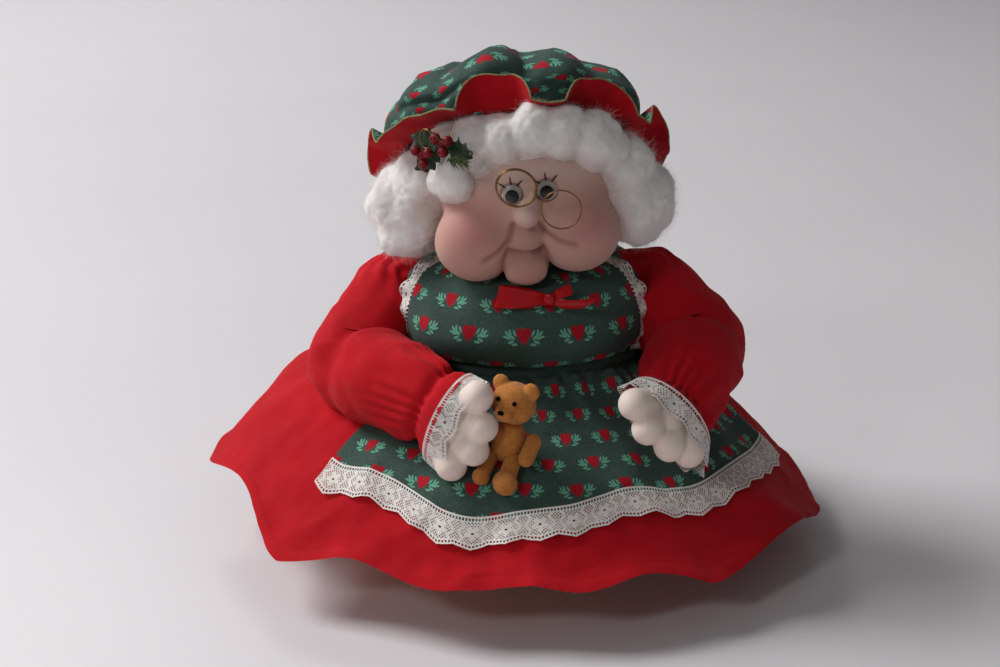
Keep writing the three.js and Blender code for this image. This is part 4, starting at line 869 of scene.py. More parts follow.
def make_body():
    angle, along = round_grid(np.linspace(0, 1, 60), 90)
    dents = np.abs(ripple(body_surface(angle, along), 26, 1))
    stuffed = lifted(body_surface, angle, along, -0.8 - 0.5 * dents)
    torso = closed_object("torso_stuffed", stuffed, kit["muslin"], (0, 0, 4.8), (0, 0, 142.5))
    pad(torso, "torso", "torso")

    bag = turned(catmull(PELLETS, np.linspace(0, 1, 30)))
    bag[..., 2] += 0.5 * ripple(bag, 7, 2) * (bag[..., 2] > 6)
    pellets = closed_object("pellet_bag_filled", bag, kit["muslin"], (0, 0, 5.2), (0, 0, 22.6))
    pad(pellets, "torso", "pellet_bag")

    stem = turned(catmull(NECK, np.linspace(0, 1, 26)))
    stem[..., 1] -= NECK_FORWARD
    ends = [(0, -NECK_FORWARD, NECK[i][1]) for i in (0, -1)]
    pad(closed_object("neck_stuffed", stem, kit["skin"], *ends), "neck", "neck")


def make_base():
    steps = [np.linspace(*pair, 8, endpoint=False) for pair in zip(BASE_EDGE, BASE_EDGE[1:])]
    under = np.vstack([*steps, BASE_EDGE[-1:]])
    spread = run_along(under)[:, None]
    spin = np.linspace(0, 2 * np.pi, 61)[None, :]
    uv = np.stack([spread * np.cos(spin), spread * np.sin(spin)], -1)
    sheet("base_cover_cloth", "base_cover", turned(under), uv, "red", wrap=True)
    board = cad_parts["base_board"].data.materials
    board.clear()
    board.append(kit["card"])


# Dress
def skirt_surface(angle, along):
    fall = 1 - along
    side = np.sin(angle)
    puff = SKIRT_PUFF * (1 - np.cos(angle)) * 0.5 * (1 - SKIRT_PUFF_SKEW * side)
    ridge = fold_height(SKIRT_RIDGES, angle) * fall
    hem = HEM_RADIUS - HEM_SIDE_SWAY * side + ridge
    front = HEM_FRONT_RISE * np.maximum(np.cos(angle), 0) ** 4
    corner = HEM_CORNER_RISE * np.maximum(-side, 0) ** 6
    low = HEM_HEIGHT - HEM_SIDE_RISE * side + front + corner - SKIRT_RIDGE_DROP * ridge
    spread = fall + (np.sin(fall * np.pi / 2) - fall) * puff
    drop = fall + (1 - np.cos(fall * np.pi / 2) - fall) * puff
    across = WAIST_ACROSS + (hem - WAIST_ACROSS) * spread
    deep = WAIST_DEEP + (hem - WAIST_DEEP) * spread
    return bearing(angle, across, deep, SKIRT_TOP + (low - SKIRT_TOP) * drop)


def skirt_detail(angle, along):
    """Gathers under the waist, smaller folds that run down from it, creases, and larger swells and dips."""
    fall = 1 - along
    plain = skirt_surface(angle, along)
    gathers = 1.1 * np.cos(46 * angle + 1.5 * np.sin(5 * angle)) * np.exp(-fall / 0.1)
    gathers = gathers * smooth_step(fall, 0, 0.02)
    run = np.stack([70 * np.sin(angle), -70 * np.cos(angle), 22 * fall], -1)
    folds = (0.6 - np.abs(ripple(run, 34, 5))) * smooth_step(fall, 0.1, 0.5)
    creases = 0.6 - np.abs(ripple(plain, 46, 7))
    swell = SIDE_SWELL * bell(angle - math.radians(SIDE_SWELL_ANGLE), 0.7) * bell(fall - 0.5, 0.25)
    dip = np.maximum(1 - np.abs(angle - math.radians(FRONT_DIP_ANGLE)) / math.radians(FRONT_DIP_HALF), 0)
    corner = CORNER_FILL * bell(angle - math.radians(CORNER_FILL_ANGLE), 0.2) * smooth_step(fall, 0.4, 0.95)
    large = gathers + swell - FRONT_DIP * dip * smooth_step(fall, 0.5, 0.9)
    large = large + HEM_FLARE * smooth_step(fall, 0.88, 1) + corner
    return large + 1.5 * folds + 1.0 * creases + 0.3 * ripple(plain, 15, 6)


def make_skirt():
    rows = np.concatenate([np.linspace(0, 0.1, 10, endpoint=False), np.linspace(0.1, 0.995, 70)])
    angle, along = round_grid(rows, 360)
    cloth = lifted(skirt_surface, angle, along, 0.3 + skirt_detail(angle, along))
    cloth[..., 2] -= 0.35 * bell(along - HEM_STITCHES, 0.006)
    uv = band_places(-(1 - rows) * SKIRT_SLANT, 360, HEM_RADIUS)
    sheet("dress_skirt_cloth", "dress_skirt", cloth, uv, "red", wrap=True)


def make_bodice():
    rows = np.linspace(WAIST_ROW - 0.012, 0.985, 60)
    angle, along = round_grid(rows, 200)
    plain = body_surface(angle, along)
    lift = BODICE_LIFT + 0.5 * ripple(plain, 22, 8) + 0.4 * np.cos(24 * angle) * smooth_step(along, 0.9, 0.98)
    cloth = lifted(body_surface, angle, along, np.maximum(lift, 0.2))
    uv = band_places(run_along(body_surface(0 * rows, rows)), 200, CLOTH_REACH)
    sheet("dress_bodice_cloth", "dress_bodice", cloth, uv, "red", wrap=True)


# Lace: a net with a header, a flower in each repeat and a zigzag edge with eyelets
def lace_threads(u, v, width):
    """True where the lace has thread, for places along its length and down from its header."""
    up = width - LACE_ZIGZAG * np.abs((u / LACE_REPEAT) % 1 - 0.5) * 2 - v
    hole = LACE_NET * 0.29
    slant = [np.abs(way % LACE_NET - LACE_NET / 2) for way in (u + v, u - v)]
    thread = (slant[0] > hole) | (slant[1] > hole)
    x = (u / LACE_REPEAT) % 1 * LACE_REPEAT - LACE_REPEAT / 2
    reach = np.hypot(x, v - width * 0.5)
    petals = 3.0 + 0.9 * np.cos(5 * np.arctan2(x, v - width * 0.5))
    thread = (thread | (reach < petals)) & (reach > 0.6)
    thread = thread | (np.abs(np.abs(x) - 5.2 - 0.9 * np.sin(v * 1.1)) < 0.7)
    bars = u % LACE_NET < 0.6
    header = (v < 1.0) | ((v > 2.0) & (v < LACE_HEADER)) | bars
    thread = np.where(v < LACE_HEADER, header, thread)
    thread = np.where(up < LACE_BORDER, (up < 0.9) | (up > 1.9) | bars, thread)
    return thread & (up > 0)


def lace_strip(node, surface, length, width, body="torso"):
    """Lace laid on a surface that takes places along and down it."""
    u = np.linspace(0, length, int(round(length / LACE_CELL)) + 1)
    v = np.linspace(0, width, int(round(width / LACE_CELL)) + 1)
    v, u = np.meshgrid(v, u, indexing="ij")
    keep = lace_threads((u[:-1, :-1] + u[1:, 1:]) / 2, (v[:-1, :-1] + v[1:, 1:]) / 2, width)
    uv = np.stack([u, -v], -1)
    sheet(f"{node}_net", node, surface(u, v), uv, "lace", body, keep=keep)


# Apron
def lap_hem(angle):
    corners, heights = zip(*LAP_HEM)
    spread = np.linspace(-5, 5, 9)
    return np.mean([np.interp(np.degrees(angle) + aside, corners, heights) for aside in spread], axis=0)


def lap_lift(angle, along):
    fall = np.clip((0.99 - along) / 0.66, 0, 1)
    gathers = 1.5 * (1 + np.cos(26 * angle + 2 * np.sin(4 * angle))) * np.exp(-fall / 0.22)
    gathers = gathers * smooth_step(fall, 0, 0.04)
    ripples = 0.6 * (1 + ripple(skirt_surface(angle, along), 30, 11))
    return LAP_LIFT + skirt_detail(angle, along) + gathers + ripples


def make_lap():
    low, high = (math.radians(a) for a in LAP_ANGLES)
    angles = np.linspace(low, high, 260)
    angle = np.broadcast_to(angles, (90, 260))
    hem = lap_hem(angle)
    along = hem + (LAP_TOP - hem) * np.linspace(0, 1, 90)[:, None]
    cloth = lifted(skirt_surface, angle, along, lap_lift(angle, along))
    uv = np.stack([angle * LAP_REACH, along * SKIRT_SLANT * 0.85], -1)
    sheet("apron_skirt_cloth", "apron_skirt", cloth, uv, "print")

    length = run_along(lifted(skirt_surface, angles, lap_hem(angles), 0 * angles + LAP_LIFT))

    def on_lap(u, v):
        bend = np.interp(u, length, angles)
        down = lap_hem(bend) + (3 - v) / SKIRT_SLANT
        flutter = 0.7 * np.sin(u * 2 * np.pi / 23) * smooth_step(v, 3, LACE_WIDTH)
        return lifted(skirt_surface, bend, down, lap_lift(bend, down) + 0.5 + flutter)

    lace_strip("apron_lace", on_lap, length[-1], LACE_WIDTH + 2)


def make_bib():
    low, high = body_row(BIB_BOTTOM), body_row(BIB_TOP)
    half = math.radians(BIB_HALF_ANGLE)
    angle = np.broadcast_to(np.radians(np.linspace(-BIB_HALF_ANGLE, BIB_HALF_ANGLE, 150)), (70, 150))
    share = np.broadcast_to(np.linspace(0, 1, 70)[:, None], angle.shape)
    along = low + (high - low) * share
    plain = body_surface(angle, along)
    side = 1 - np.abs(angle) / half
    ends = np.minimum(smooth_step(share, 0, 0.1), smooth_step(share, 1, 0.93))
    edge = np.minimum(smooth_step(side, 0, 0.05), ends)
    puff = BIB_PUFF * bell(share - 0.18, 0.2) * smooth_step(side, 0, 0.4)
    lift = TRIM_LIFT + (BIB_THICKNESS + puff) * edge + 0.35 * ripple(plain, 20, 13) * edge
    cloth = lifted(body_surface, angle, along, lift)
    uv = np.stack([angle * BIB_REACH, run_along(plain[:, 75])[:, None] + 0 * angle], -1)
    sheet("apron_bib_cloth", "apron_bib", cloth, uv, "print")


def make_waistband():
    rows = np.linspace(-1, 1, 14)
    angle, across = round_grid(rows, 200)
    roll = TRIM_LIFT + 2.0 * np.sqrt(np.maximum(1 - across**2, 0))
    around = lifted(body_surface, angle, body_row(WAISTBAND_HEIGHT) + 0 * angle, roll)
    around[..., 2] += 4.4 * across - 1.2 + 0.25 * np.cos(60 * angle)
    uv = band_places(rows * WAISTBAND_HALF, 200, CLOTH_REACH)
    node = "apron_waistband"
    sheet(f"{node}_cloth", node, around, uv, "print", wrap=True)


def strap_place(side, across, reach):
    """Angle and row of a strap from the bib's top corner to the waistband at the back."""
    half = math.radians(BIB_HALF_ANGLE)
    angle = side * (half + (math.pi - half * 1.6) * reach)
    row = SHOULDER_ROW + across / ROW_LENGTH
    low = body_row(BIB_BOTTOM) + 0.01 + across / ROW_LENGTH
    return angle, row + (low - row) * smooth_step(reach, 0.72, 1)


def make_strap(name, side):
    rows, columns = np.linspace(-0.03, 1, 80), np.linspace(-STRAP_HALF, STRAP_HALF, 12)
    reach, across = np.meshgrid(rows, columns, indexing="ij")
    angle, along = strap_place(side, across, reach)
    roll = np.sqrt(np.maximum(1 - (across / STRAP_HALF) ** 2, 0))
    creases = 0.15 * ripple(np.stack([angle * 40, along * 99, across], -1), 12, 17)
    cloth = lifted(body_surface, angle, along, TRIM_LIFT + 0.9 * roll + creases)
    uv = np.stack([run_along(cloth[:, 6])[:, None] + 0 * across, across], -1)
    node = f"apron_strap_{name}"
    sheet(f"{node}_cloth", node, cloth, uv, "print")


def make_frill(name, side):
    low, high = body_row(BIB_BOTTOM), body_row(BIB_TOP)

    def frill(u, v):
        along = low + (high - low) * (u / FRILL_LENGTH)
        out = 0.55 + 0.3 * np.sin(u * 2 * np.pi / 7.5)
        angle = side * (math.radians(BIB_HALF_ANGLE) - 0.05 + v / BIB_REACH * (1 - 0.35 * out))
        return lifted(body_surface, angle, along, TRIM_LIFT + 1.6 + v * 0.55 * out)

    lace_strip(f"strap_lace_{name}", frill, FRILL_LENGTH, FRILL_CUT)


def make_straps():
    for name, side in (("right", -1), ("left", 1)):
        make_strap(name, side)
        make_frill(name, side)


# Bows: each ribbon is a strip that follows a path, with its own width direction
def ribbon(path, across, width, count=40, cup=0.0):
    centre, ahead, length = even_path(path, count)
    wide = catmull(across, np.linspace(0, 1, count))
    wide = unit(wide - ahead * (wide * ahead).sum(-1, keepdims=True))
    normal = np.cross(ahead, wide)
    size = np.interp(np.linspace(0, 1, count), np.linspace(0, 1, len(width)), width)
    spread = np.linspace(-0.5, 0.5, 11)
    points = centre[:, None] + wide[:, None] * (size[:, None] * spread)[..., None]
    points = points + normal[:, None] * (cup * (1 - 4 * spread**2))[None, :, None]
    uv = np.stack(np.meshgrid(np.linspace(0, length, count), spread * max(width), indexing="ij"), -1)
    return points, uv


def ribbon_bow(name, node, strips, material):
    points, faces, corners = [], [], []
    shift = 0.0
    for strip, uv in strips:
        start = sum(len(p) for p in points)
        faces += (grid_faces(*strip.shape[:2]) + start).tolist()
        points.append(strip.reshape(-1, 3))
        corners.append(grid_corners(uv + (shift, 0)))
        shift += uv[..., 0].max()
    bow = mesh_object(name, np.vstack(points), faces, kit[material], np.vstack(corners))
    flat_cut(fit(bow, "torso", node))


def make_bows():
    knot = np.array(NECK_KNOT)
    up = (0, 0.2, 1)
    strips = [
        ribbon(knot + LOOP_RIGHT, [up, (0.3, 0.1, 1), up], [3, 7, 9.5, 10.4, 9.5, 7, 3], 60),
        ribbon(knot + LOOP_LEFT, [up, (-0.3, 0.3, 1), up], [2.5, 4, 4.4, 4.4, 4, 2.5], 60),
        ribbon(knot + TAIL_LEFT, [(0, 0.3, 1), (0.1, -0.2, 1), (0, 0.5, 1)], [3, 4.5, 4.5, 1.2], 40, 0.5),
        ribbon(knot + TAIL_RIGHT, [(0, 0.3, 1), (0.4, -0.2, 1), (0.3, 0.5, 1)], [3, 4.5, 5, 5], 40, 0.5),
        ribbon(knot + KNOT_TURN, [up, (0.1, 0.0, 1), up], [4, 5, 5, 4], 24, 0.6),
    ]
    ribbon_bow("neck_bow_ribbon", "neck_bow", strips, "satin")

    back = lifted(body_surface, np.array([np.pi]), np.array([body_row(WAISTBAND_HEIGHT)]), TRIM_LIFT + 4)[0]
    strips = []
    for side in (-1, 1):
        loop, tail = (back + np.array(way) * (side, 1, 1) for way in (SASH_LOOP, SASH_TAIL))
        strips.append(ribbon(loop, [up, (0, 0.5, 1), up], [5, 12, 15, 15, 12, 5], 60))
        across = [(side, 0, 0.4), (side, 0.2, 0.5), (side, 0.2, 0.5)]
        strips.append(ribbon(tail, across, [6, 11, 13, 13], 40, 0.6))
    strips.append(ribbon(back + SASH_TURN, [up] * 3, [8, 9, 9, 8], 24, 0.8))
    ribbon_bow("apron_sash_bow_cloth", "apron_sash_bow", strips, "print")


# Arms
def arm_place(name, back):
    """Spot on an arm, measured back from the middle of its fingers along the way its cuff points."""
    return np.mean(FINGERS[name], axis=0) - unit(np.array(CUFF_AIMS[name])) * back


def rings_about(forward, spin):
    """Directions round an axis, from its side towards its top."""
    across = unit(np.cross(forward, (0, 0, 1)))
    above = np.cross(across, forward)
    return across * np.cos(spin)[..., None] + above * np.sin(spin)[..., None]


def flattened(name, offsets, share):
    """Squeezes a sleeve's end onto the row of fingers in it."""
    row = np.array(FINGERS[name][0], float) - FINGERS[name][-1]
    thin = unit(np.cross(CUFF_AIMS[name], row))
    depth = (offsets @ thin) * (1 - CUFF_SQUASH) * share
    return offsets - thin * depth[..., None]


def sleeve_path(name):
    """Middle, direction, radius and share of the way to the wrist and to the mouth, along a sleeve."""
    shoulder, elbow = np.array(SHOULDERS[name], float), np.array(ELBOWS[name], float)
    wrist, mouth = arm_place(name, WRIST_BACK), arm_place(name, FLOUNCE_BACK)
    inward = shoulder - (np.sign(shoulder[0]) * SLEEVE_INSET, 0, 2)
    upper, fore = shoulder + (elbow - shoulder) * 0.55, elbow + (wrist - elbow) * 0.5
    path, forward, length = even_path([inward, shoulder, upper, elbow, fore, wrist, mouth], 150)
    run = np.linspace(0, length, 150)
    to_wrist = (run - SLEEVE_INSET) / (length - SLEEVE_INSET - WRIST_BACK + FLOUNCE_BACK)
    to_mouth = np.clip((run - length) / (WRIST_BACK - FLOUNCE_BACK) + 1, 0, 1)
    aim = unit(np.array(CUFF_AIMS[name]))
    forward = unit(forward + (aim - forward) * smooth_step(to_wrist, 0.8, 1)[:, None])
    radius = np.interp(to_wrist, np.linspace(0, 1, 7), SLEEVE_RADII)
    radius = np.convolve(np.pad(radius, 8, "edge"), np.ones(17) / 17, "valid")
    gather = bell(run - length + WRIST_BACK - FLOUNCE_BACK, 3.2)
    radius = radius * (1 - 0.09 * bell(to_wrist - 0.5, 0.05)) - 3.4 * gather
    return path, forward, run, radius + (FLOUNCE_RADIUS - radius) * to_mouth, to_wrist, to_mouth


def make_sleeve(name):
    path, forward, run, radius, to_wrist, to_mouth = sleeve_path(name)
    spin = np.linspace(0, 2 * np.pi, 160, endpoint=False)[None, :] + 0 * run[:, None]
    where = to_wrist[:, None] + 0 * spin
    ring = rings_about(forward[:, None], spin)
    plain = path[:, None] + ring * radius[:, None, None]
    inner = ring @ unit(np.array([-np.sign(SHOULDERS[name][0]), -0.5, 0.2]))
    waves = where * 46 + 1.6 * np.sin(2 * spin) + 3 * ripple(plain, 60, 21)
    crumple = np.sin(waves) * bell(where - 0.52, 0.16)
    pleats = np.cos(17 * spin + 4 * np.sin(3 * spin))
    pleats = pleats * (0.8 * smooth_step(where, 0.72, 0.95) + 0.9 * to_mouth[:, None])
    shoulder_gathers = np.cos(13 * spin + 2) * smooth_step(where, 0.16, 0.0)
    swell = 0.9 * crumple * smooth_step(inner, -0.3, 0.9) + pleats + 0.6 * shoulder_gathers
    swell = swell + 1.1 * (0.6 - np.abs(ripple(plain, 40, 22))) + 0.3 * ripple(plain, 12, 23)
    offsets = ring * (radius[:, None] + swell)[..., None]
    points = path[:, None] + flattened(name, offsets, smooth_step(where, 0.7, 1.05))
    uv = np.stack(np.meshgrid(np.linspace(0, 2 * np.pi, 161) * SLEEVE_CLOTH, run), -1)
    sleeve = cloth_object(f"sleeve_{name}_cloth", points, uv, kit["red"], wrap=True)
    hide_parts(f"sleeve_{name}")
    return sleeve


def make_cuff(name):
    aim = unit(np.array(CUFF_AIMS[name]))
    row = unit(np.array(FINGERS[name][0], float) - FINGERS[name][-1])
    length = 2 * np.pi * (FLOUNCE_RADIUS + 2)

    def ruffle(u, v):
        spin = u / length * 2 * np.pi
        wave = np.sin(11 * spin + 0.8 * np.sin(2 * spin))
        out = v / CUFF_CUT
        reach = FLOUNCE_RADIUS + CUFF_RISE - 1.0 * out + 1.3 * wave * out
        ahead = -CUFF_TUCK + (CUFF_LENGTH + 4) * out + 0.8 * wave * out
        offsets = flattened(name, rings_about(aim, spin) * reach[..., None], 1 + 0.45 * out)
        offsets = offsets + row * (offsets @ row * CUFF_FLARE[name] * out)[..., None]
        return arm_place(name, FLOUNCE_BACK) + offsets + aim * ahead[..., None]

    lace_strip(
        f"cuff_lace_{name}", ruffle, length, CUFF_CUT, f"arm_{name}",
    )


def make_hand(name):
    palm = arm_place(name, PALM_BACK)
    middle = arm_place(name, 0)
    parts = [capsule_part(arm_place(name, WRIST_BACK), palm, WRIST_RADIUS), ball_part(palm, PALM_RADIUS)]
    aim = unit(np.array(CUFF_AIMS[name]))
    fingers = np.array(FINGERS[name], float)
    for finger in fingers:
        base = middle + (finger - middle) * FINGER_SPREAD - aim * FINGER_LENGTH
        parts.append(capsule_part(base, finger, FINGER_RADIUS))
    hand = fuse(f"hand_{name}_stuffed", parts, 0.6, 2, kit["skin"])
    spots, _ = surface_normals(hand)
    tips = [bell(np.linalg.norm(spots - (finger + (2, -5, -4)), axis=1), 5) for finger in fingers]
    paint(hand, "blush", 0.35 * np.max(tips, axis=0))
    # The hands are painted paler all over: partly a paler stocking, partly painted light
    paint(hand, "pale", np.full(len(spots), 1.4))
    paint(hand, "crease_and_shade", np.zeros(len(spots)))
    pad(hand, f"arm_{name}", f"hand_{name}")


def make_arms():
    for name, place in SHOULDERS.items():
        sleeve = make_sleeve(name)
        make_cuff(name)
        make_hand(name)
        out = unit(np.array([0.5 * math.copysign(1, place[0]), -0.8, -0.3])) * MM
        start, end = (tuple(np.array(place) * MM + out * reach) for reach in SLEEVE_BEND)
        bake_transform(sleeve)


# Head
def ellipsoid(points, centre, radii):
    q = (points - centre) / radii
    k = np.linalg.norm(q, axis=-1)
    return k * (k - 1) / np.maximum(np.linalg.norm(q / radii, axis=-1), 1e-6)


def smooth_min(a, b, blend):
    h = np.clip(0.5 + 0.5 * (b - a) / blend, 0, 1)
    return b + (a - b) * h - blend * h * (1 - h)


def face_field(p):
    skin = ellipsoid(p, (0, 0, 0), SKULL_RADII)
    skin = smooth_min(skin, ellipsoid(p, CHEEK_RIGHT, CHEEK_RADII), 7)
    skin = smooth_min(skin, ellipsoid(p, CHEEK_LEFT, CHEEK_RADII), 7)
    skin = smooth_min(skin, ellipsoid(p, CHIN, CHIN_RADII), 2.2)
    skin = smooth_min(skin, ellipsoid(p, LIP, LIP_RADII), 2.2)
    bridge = ellipsoid(p, NOSE_BRIDGE, NOSE_BRIDGE_RADII)
    nose = smooth_min(ellipsoid(p, NOSE, NOSE_RADII), bridge, 2.5)
    return smooth_min(skin, nose, 1.0)


def shrink_onto(field, centre, directions, far):
    """First point of a shape met on the way in to its centre."""
    reach = np.full(directions.shape[:-1], float(far))
    for _ in range(90):
        reach = np.maximum(reach - 0.75 * field(centre + directions * reach[..., None]), 2)
    return reach


def near_line(x, z, points):
    """Distance to a line on the face."""
    best = np.full(x.shape, 1e3)
    for (ax, az), (bx, bz) in zip(points, points[1:]):
        wide, tall = bx - ax, bz - az
        share = np.clip(((x - ax) * wide + (z - az) * tall) / (wide**2 + tall**2), 0, 1)
        best = np.minimum(best, np.hypot(x - ax - share * wide, z - az - share * tall))
    return best


def make_head():
    centre = np.array(FACE_CORE, float)
    ways = sphere_directions(190, 280, 1.25)
    reach = shrink_onto(face_field, centre, ways, 75)
    skin = centre + ways * reach[..., None]
    x, z = skin[..., 0], skin[..., 2]
    front = smooth_step(-skin[..., 1], 18, 30)
    # Smile lines: this mask dents the skin, and it also paints shade into the creases
    crease_and_shade = np.max([bell(near_line(x, z, line), 1.3) * front for line in SMILE_LINES], axis=0)
    mouth = bell(near_line(x, z, MOUTH_LINE), 0.9) * front
    reach = reach - 1.6 * crease_and_shade - 0.7 * mouth + 0.5 * ripple(skin, 24, 31) * (1 - front * 0.5)
    for spot in EYES.values():
        aside = np.hypot(x - spot[0], z - spot[1])
        reach = reach - (EYE_SINK + 0.8) * front * smooth_step(aside, EYE_RADIUS + 0.8, EYE_RADIUS + 0.1)
    skin = centre + ways * reach[..., None]
    ends = [centre + np.array([0, -1, 0]) * reach[0].mean(), centre + np.array([0, 1, 0]) * reach[-1].mean()]
    head = closed_object("head_stuffed", to_head(skin), kit["skin"], *to_head(ends))
    paint_face(head, skin, front, crease_and_shade + mouth)
    pad(head, "head", "head")
    make_lashes()


def paint_face(head, skin, front, folds):
    x, z = skin[..., 0], skin[..., 2]

    def glow(across, up, size):
        return bell(np.hypot(x - across, z - up), size)

    blush = glow(-26, -16, 13) + 0.9 * glow(29, -17, 11) + 0.35 * glow(1, -10, 6) + 0.4 * glow(0, -37, 8)
    paint(head, "blush", np.append((blush * front).ravel(), [0.3, 0]))
    # Painted shade: darker in the creases and the mouth line, and over the lip and chin, where the stocking
    # is also doubled
    shade = glow(LIP[0], LIP[2], 7) + glow(CHIN[0], CHIN[2], 9)
    dents = np.clip(folds + 0.3 * shade * front, 0, 1) * 0.9
    paint(head, "crease_and_shade", np.append(dents.ravel(), [0, 0]))
    # Paler towards the top of the face, with a painted highlight on the nose
    pale = 0.35 * smooth_step(z, -4, 12) + 0.5 * glow(NOSE[0], NOSE[2], 6) * front
    paint(head, "pale", np.append(pale.ravel(), [0, 0]))


def skull_front(x, z):
    wide, deep, tall = SKULL_RADII
    y = -deep * math.sqrt(1 - (x / wide) ** 2 - (z / tall) ** 2)
    return np.array([x, y, z]), unit(np.array([x / wide**2, y / deep**2, z / tall**2]))


def eye_axes(spot):
    point, out = skull_front(*spot)
    right = unit(np.cross((0, 0, 1), out))
    return point - out * EYE_SINK, np.stack([right, np.cross(out, right), out])


def make_lashes():
    paths = []
    root = EYE_RADIUS * 0.95
    for x, z in EYES.values():
        for slant in (-42, -4, 32):
            line = []
            for reach in np.linspace(root, root + 3.4, 6):
                bend = math.radians(slant * (0.8 + 0.05 * reach))
                point, out = skull_front(x + reach * math.sin(bend), z + reach * math.cos(bend))
                line.append(point + out * 0.25)
            paths.append(to_head(line))
    fit(tube_object("lashes", paths, np.linspace(0.5, 0.24, 6), kit["lash"], 6), "head")


def lathe(name, profile, origin, axes, material):
    profile = np.array(profile, float)
    around = np.linspace(0, 2 * np.pi, 40, endpoint=False)
    radius = profile[:, :1]
    local = np.stack([radius * np.cos(around), radius * np.sin(around), profile[:, 1:] + 0 * around], -1)
    return closed_object(name, to_head(local @ axes + origin), kit[material])


def make_eyes():
    inside = EYE_RADIUS - DOME_WALL
    bends = np.radians(np.linspace(2, 90, 14))
    disc = [(0.2, 0), (4.4, 0), (EYE_RADIUS, 0.2), (EYE_RADIUS, 0.6), (4.5, 0.8), (0.2, 0.8)]
    outer = [(EYE_RADIUS * math.sin(b), 1.6 + 1.5 * math.cos(b)) for b in bends]
    inner = [(inside * math.sin(b), 1.5 + 1.15 * math.cos(b)) for b in bends[::-1]]
    shell = outer + [(EYE_RADIUS, DOME_RIM), (inside, DOME_RIM)] + inner
    coin = [(0.2, DOME_RIM), (PUPIL_RADIUS - 0.2, DOME_RIM), (PUPIL_RADIUS, 1.3), (PUPIL_RADIUS, 1.6)]
    coin += [(PUPIL_RADIUS - 0.2, 1.75), (0.02, 1.75)]
    for name, spot in EYES.items():
        origin, axes = eye_axes(spot)
        low = origin - axes[1] * PUPIL_FALL
        fit(lathe(f"eye_back_{name}_disc", disc, origin, axes, "eye_white"), "head", f"eye_back_{name}")
        fit(lathe(f"eye_dome_{name}_shell", shell, origin, axes, "eye_clear"), "head", f"eye_dome_{name}")
        fit(lathe(f"pupil_{name}_disc", coin, low, axes, "black"), f"pupil_{name}", f"pupil_{name}")


def make_spectacles():
    spin = np.linspace(0, 2 * np.pi, 96, endpoint=False)
    tilt = turn("Y", -SPECTACLES_TILT)
    place = np.array(SPECTACLES_CENTRE)

    def rim(side, flat, grow, lift):
        reach = LENS_RADIUS + grow
        ring = np.stack([reach * np.cos(spin), lift + 0 * spin, reach * flat * np.sin(spin)], -1)
        return to_head((ring + (side * LENS_SPACING / 2, 0, 0)) @ tilt.T + place)

    rims = [rim(-1, 0.9, 0, 0), rim(1, 0.97, 0, 0), rim(-1, 0.9, 0.45, 0.35)]
    hoops = tube_object("spectacles_rims", rims, SPECTACLES_WIRE, kit["wire"], 10, closed=True)
    fit(hoops, "spectacles", "spectacles")
    reach = LENS_SPACING / 2 - LENS_RADIUS
    share = np.linspace(0, 1, 24)[:, None]
    saddle = [(aside, BRIDGE_DEPTH, -BRIDGE_DROP) for aside in (-reach / 2, reach / 2)]
    knots = [np.array(p) for p in ((-reach, 0, 0), *saddle, (reach, 0, 0))]
    bridge = sum(math.comb(3, i) * share**i * (1 - share) ** (3 - i) * knots[i] for i in range(4))
    path = to_head(bridge @ tilt.T + place)
    fit(tube_object("spectacles_bridge", [path], SPECTACLES_WIRE, kit["wire"], 10), "spectacles")


# Hair: clouds of overlapping balls and a roll at the nape
def add_wisps(obj, count, length, seed):
    wisps = (count, length, WISP_WIDTH, WISP_CURL, kit["hair"], seed)
    fit(fibres(f"{obj.name}_wisps", *surface_normals(obj), *wisps), "head")


def cloud_lift(points, seed):
    """Soft bulges with fine tufts on them."""
    bulges = 1.3 * ripple(points, 19, seed) + 0.45 * np.abs(ripple(points, 9, seed + 1))
    return bulges + 0.2 * ripple(points, 4, seed + 2)


def hair_cloud(name, balls, count, length, seed):
    parts = [to_head(ball_part(ball[:3], (ball[3],) * 3)) for ball in balls]
    cloud = fuse(f"{name}_fluff", parts, 1.0, 14, kit["hair"])
    spots, normals = surface_normals(cloud)
    spots = spots + normals * cloud_lift(spots, seed)[:, None]
    cloud.data.vertices.foreach_set("co", (spots * MM).ravel())
    cloud.data.update()
    local = (spots - HEAD_CENTRE) @ turn("Y", HEAD_ROLL)
    paint(cloud, "thin", smooth_step(face_field(local), 10, 1))
    pad(cloud, "head", name)
    add_wisps(cloud, count, length, seed)


def make_nape():
    share = np.linspace(0, 1, 90)[:, None]
    start, back, end = (np.array(knot) for knot in NAPE_ROLL)
    path = (1 - share) ** 2 * start + 2 * share * (1 - share) * back + share**2 * end
    ahead = unit(np.gradient(path, axis=0))
    across = unit(np.cross(ahead, (0, 0, 1)))
    above = np.cross(across, ahead)
    ends = np.sqrt(np.clip(1 - (2 * share[:, 0] - 1) ** 14, 0.02, 1))
    thick = NAPE_RADIUS * (0.55 + 0.45 * np.sin(np.pi * share[:, 0])) * ends
    phi = np.linspace(0, 2 * np.pi, 70, endpoint=False)[None, :, None]
    way = across[:, None] * np.cos(phi) + above[:, None] * np.sin(phi)
    rings = path[:, None] + thick[:, None, None] * way
    rings = to_head(rings + way * cloud_lift(rings, 57)[..., None])
    nape = rounded("hair_nape_fluff", rings, "hair")
    pad(nape, "head", "hair_nape")
    add_wisps(nape, 4200, 7, 57)


def make_hair():
    hair_cloud("hair_right", HAIR_RIGHT, 14000, 8, 41)
    hair_cloud("hair_left", HAIR_LEFT, 14000, 8, 45)
    hair_cloud("hair_curl", HAIR_CURL, 7000, 6, 49)
    hair_cloud("hair_fringe", HAIR_FRINGE, 16000, 6, 53)
    make_nape()


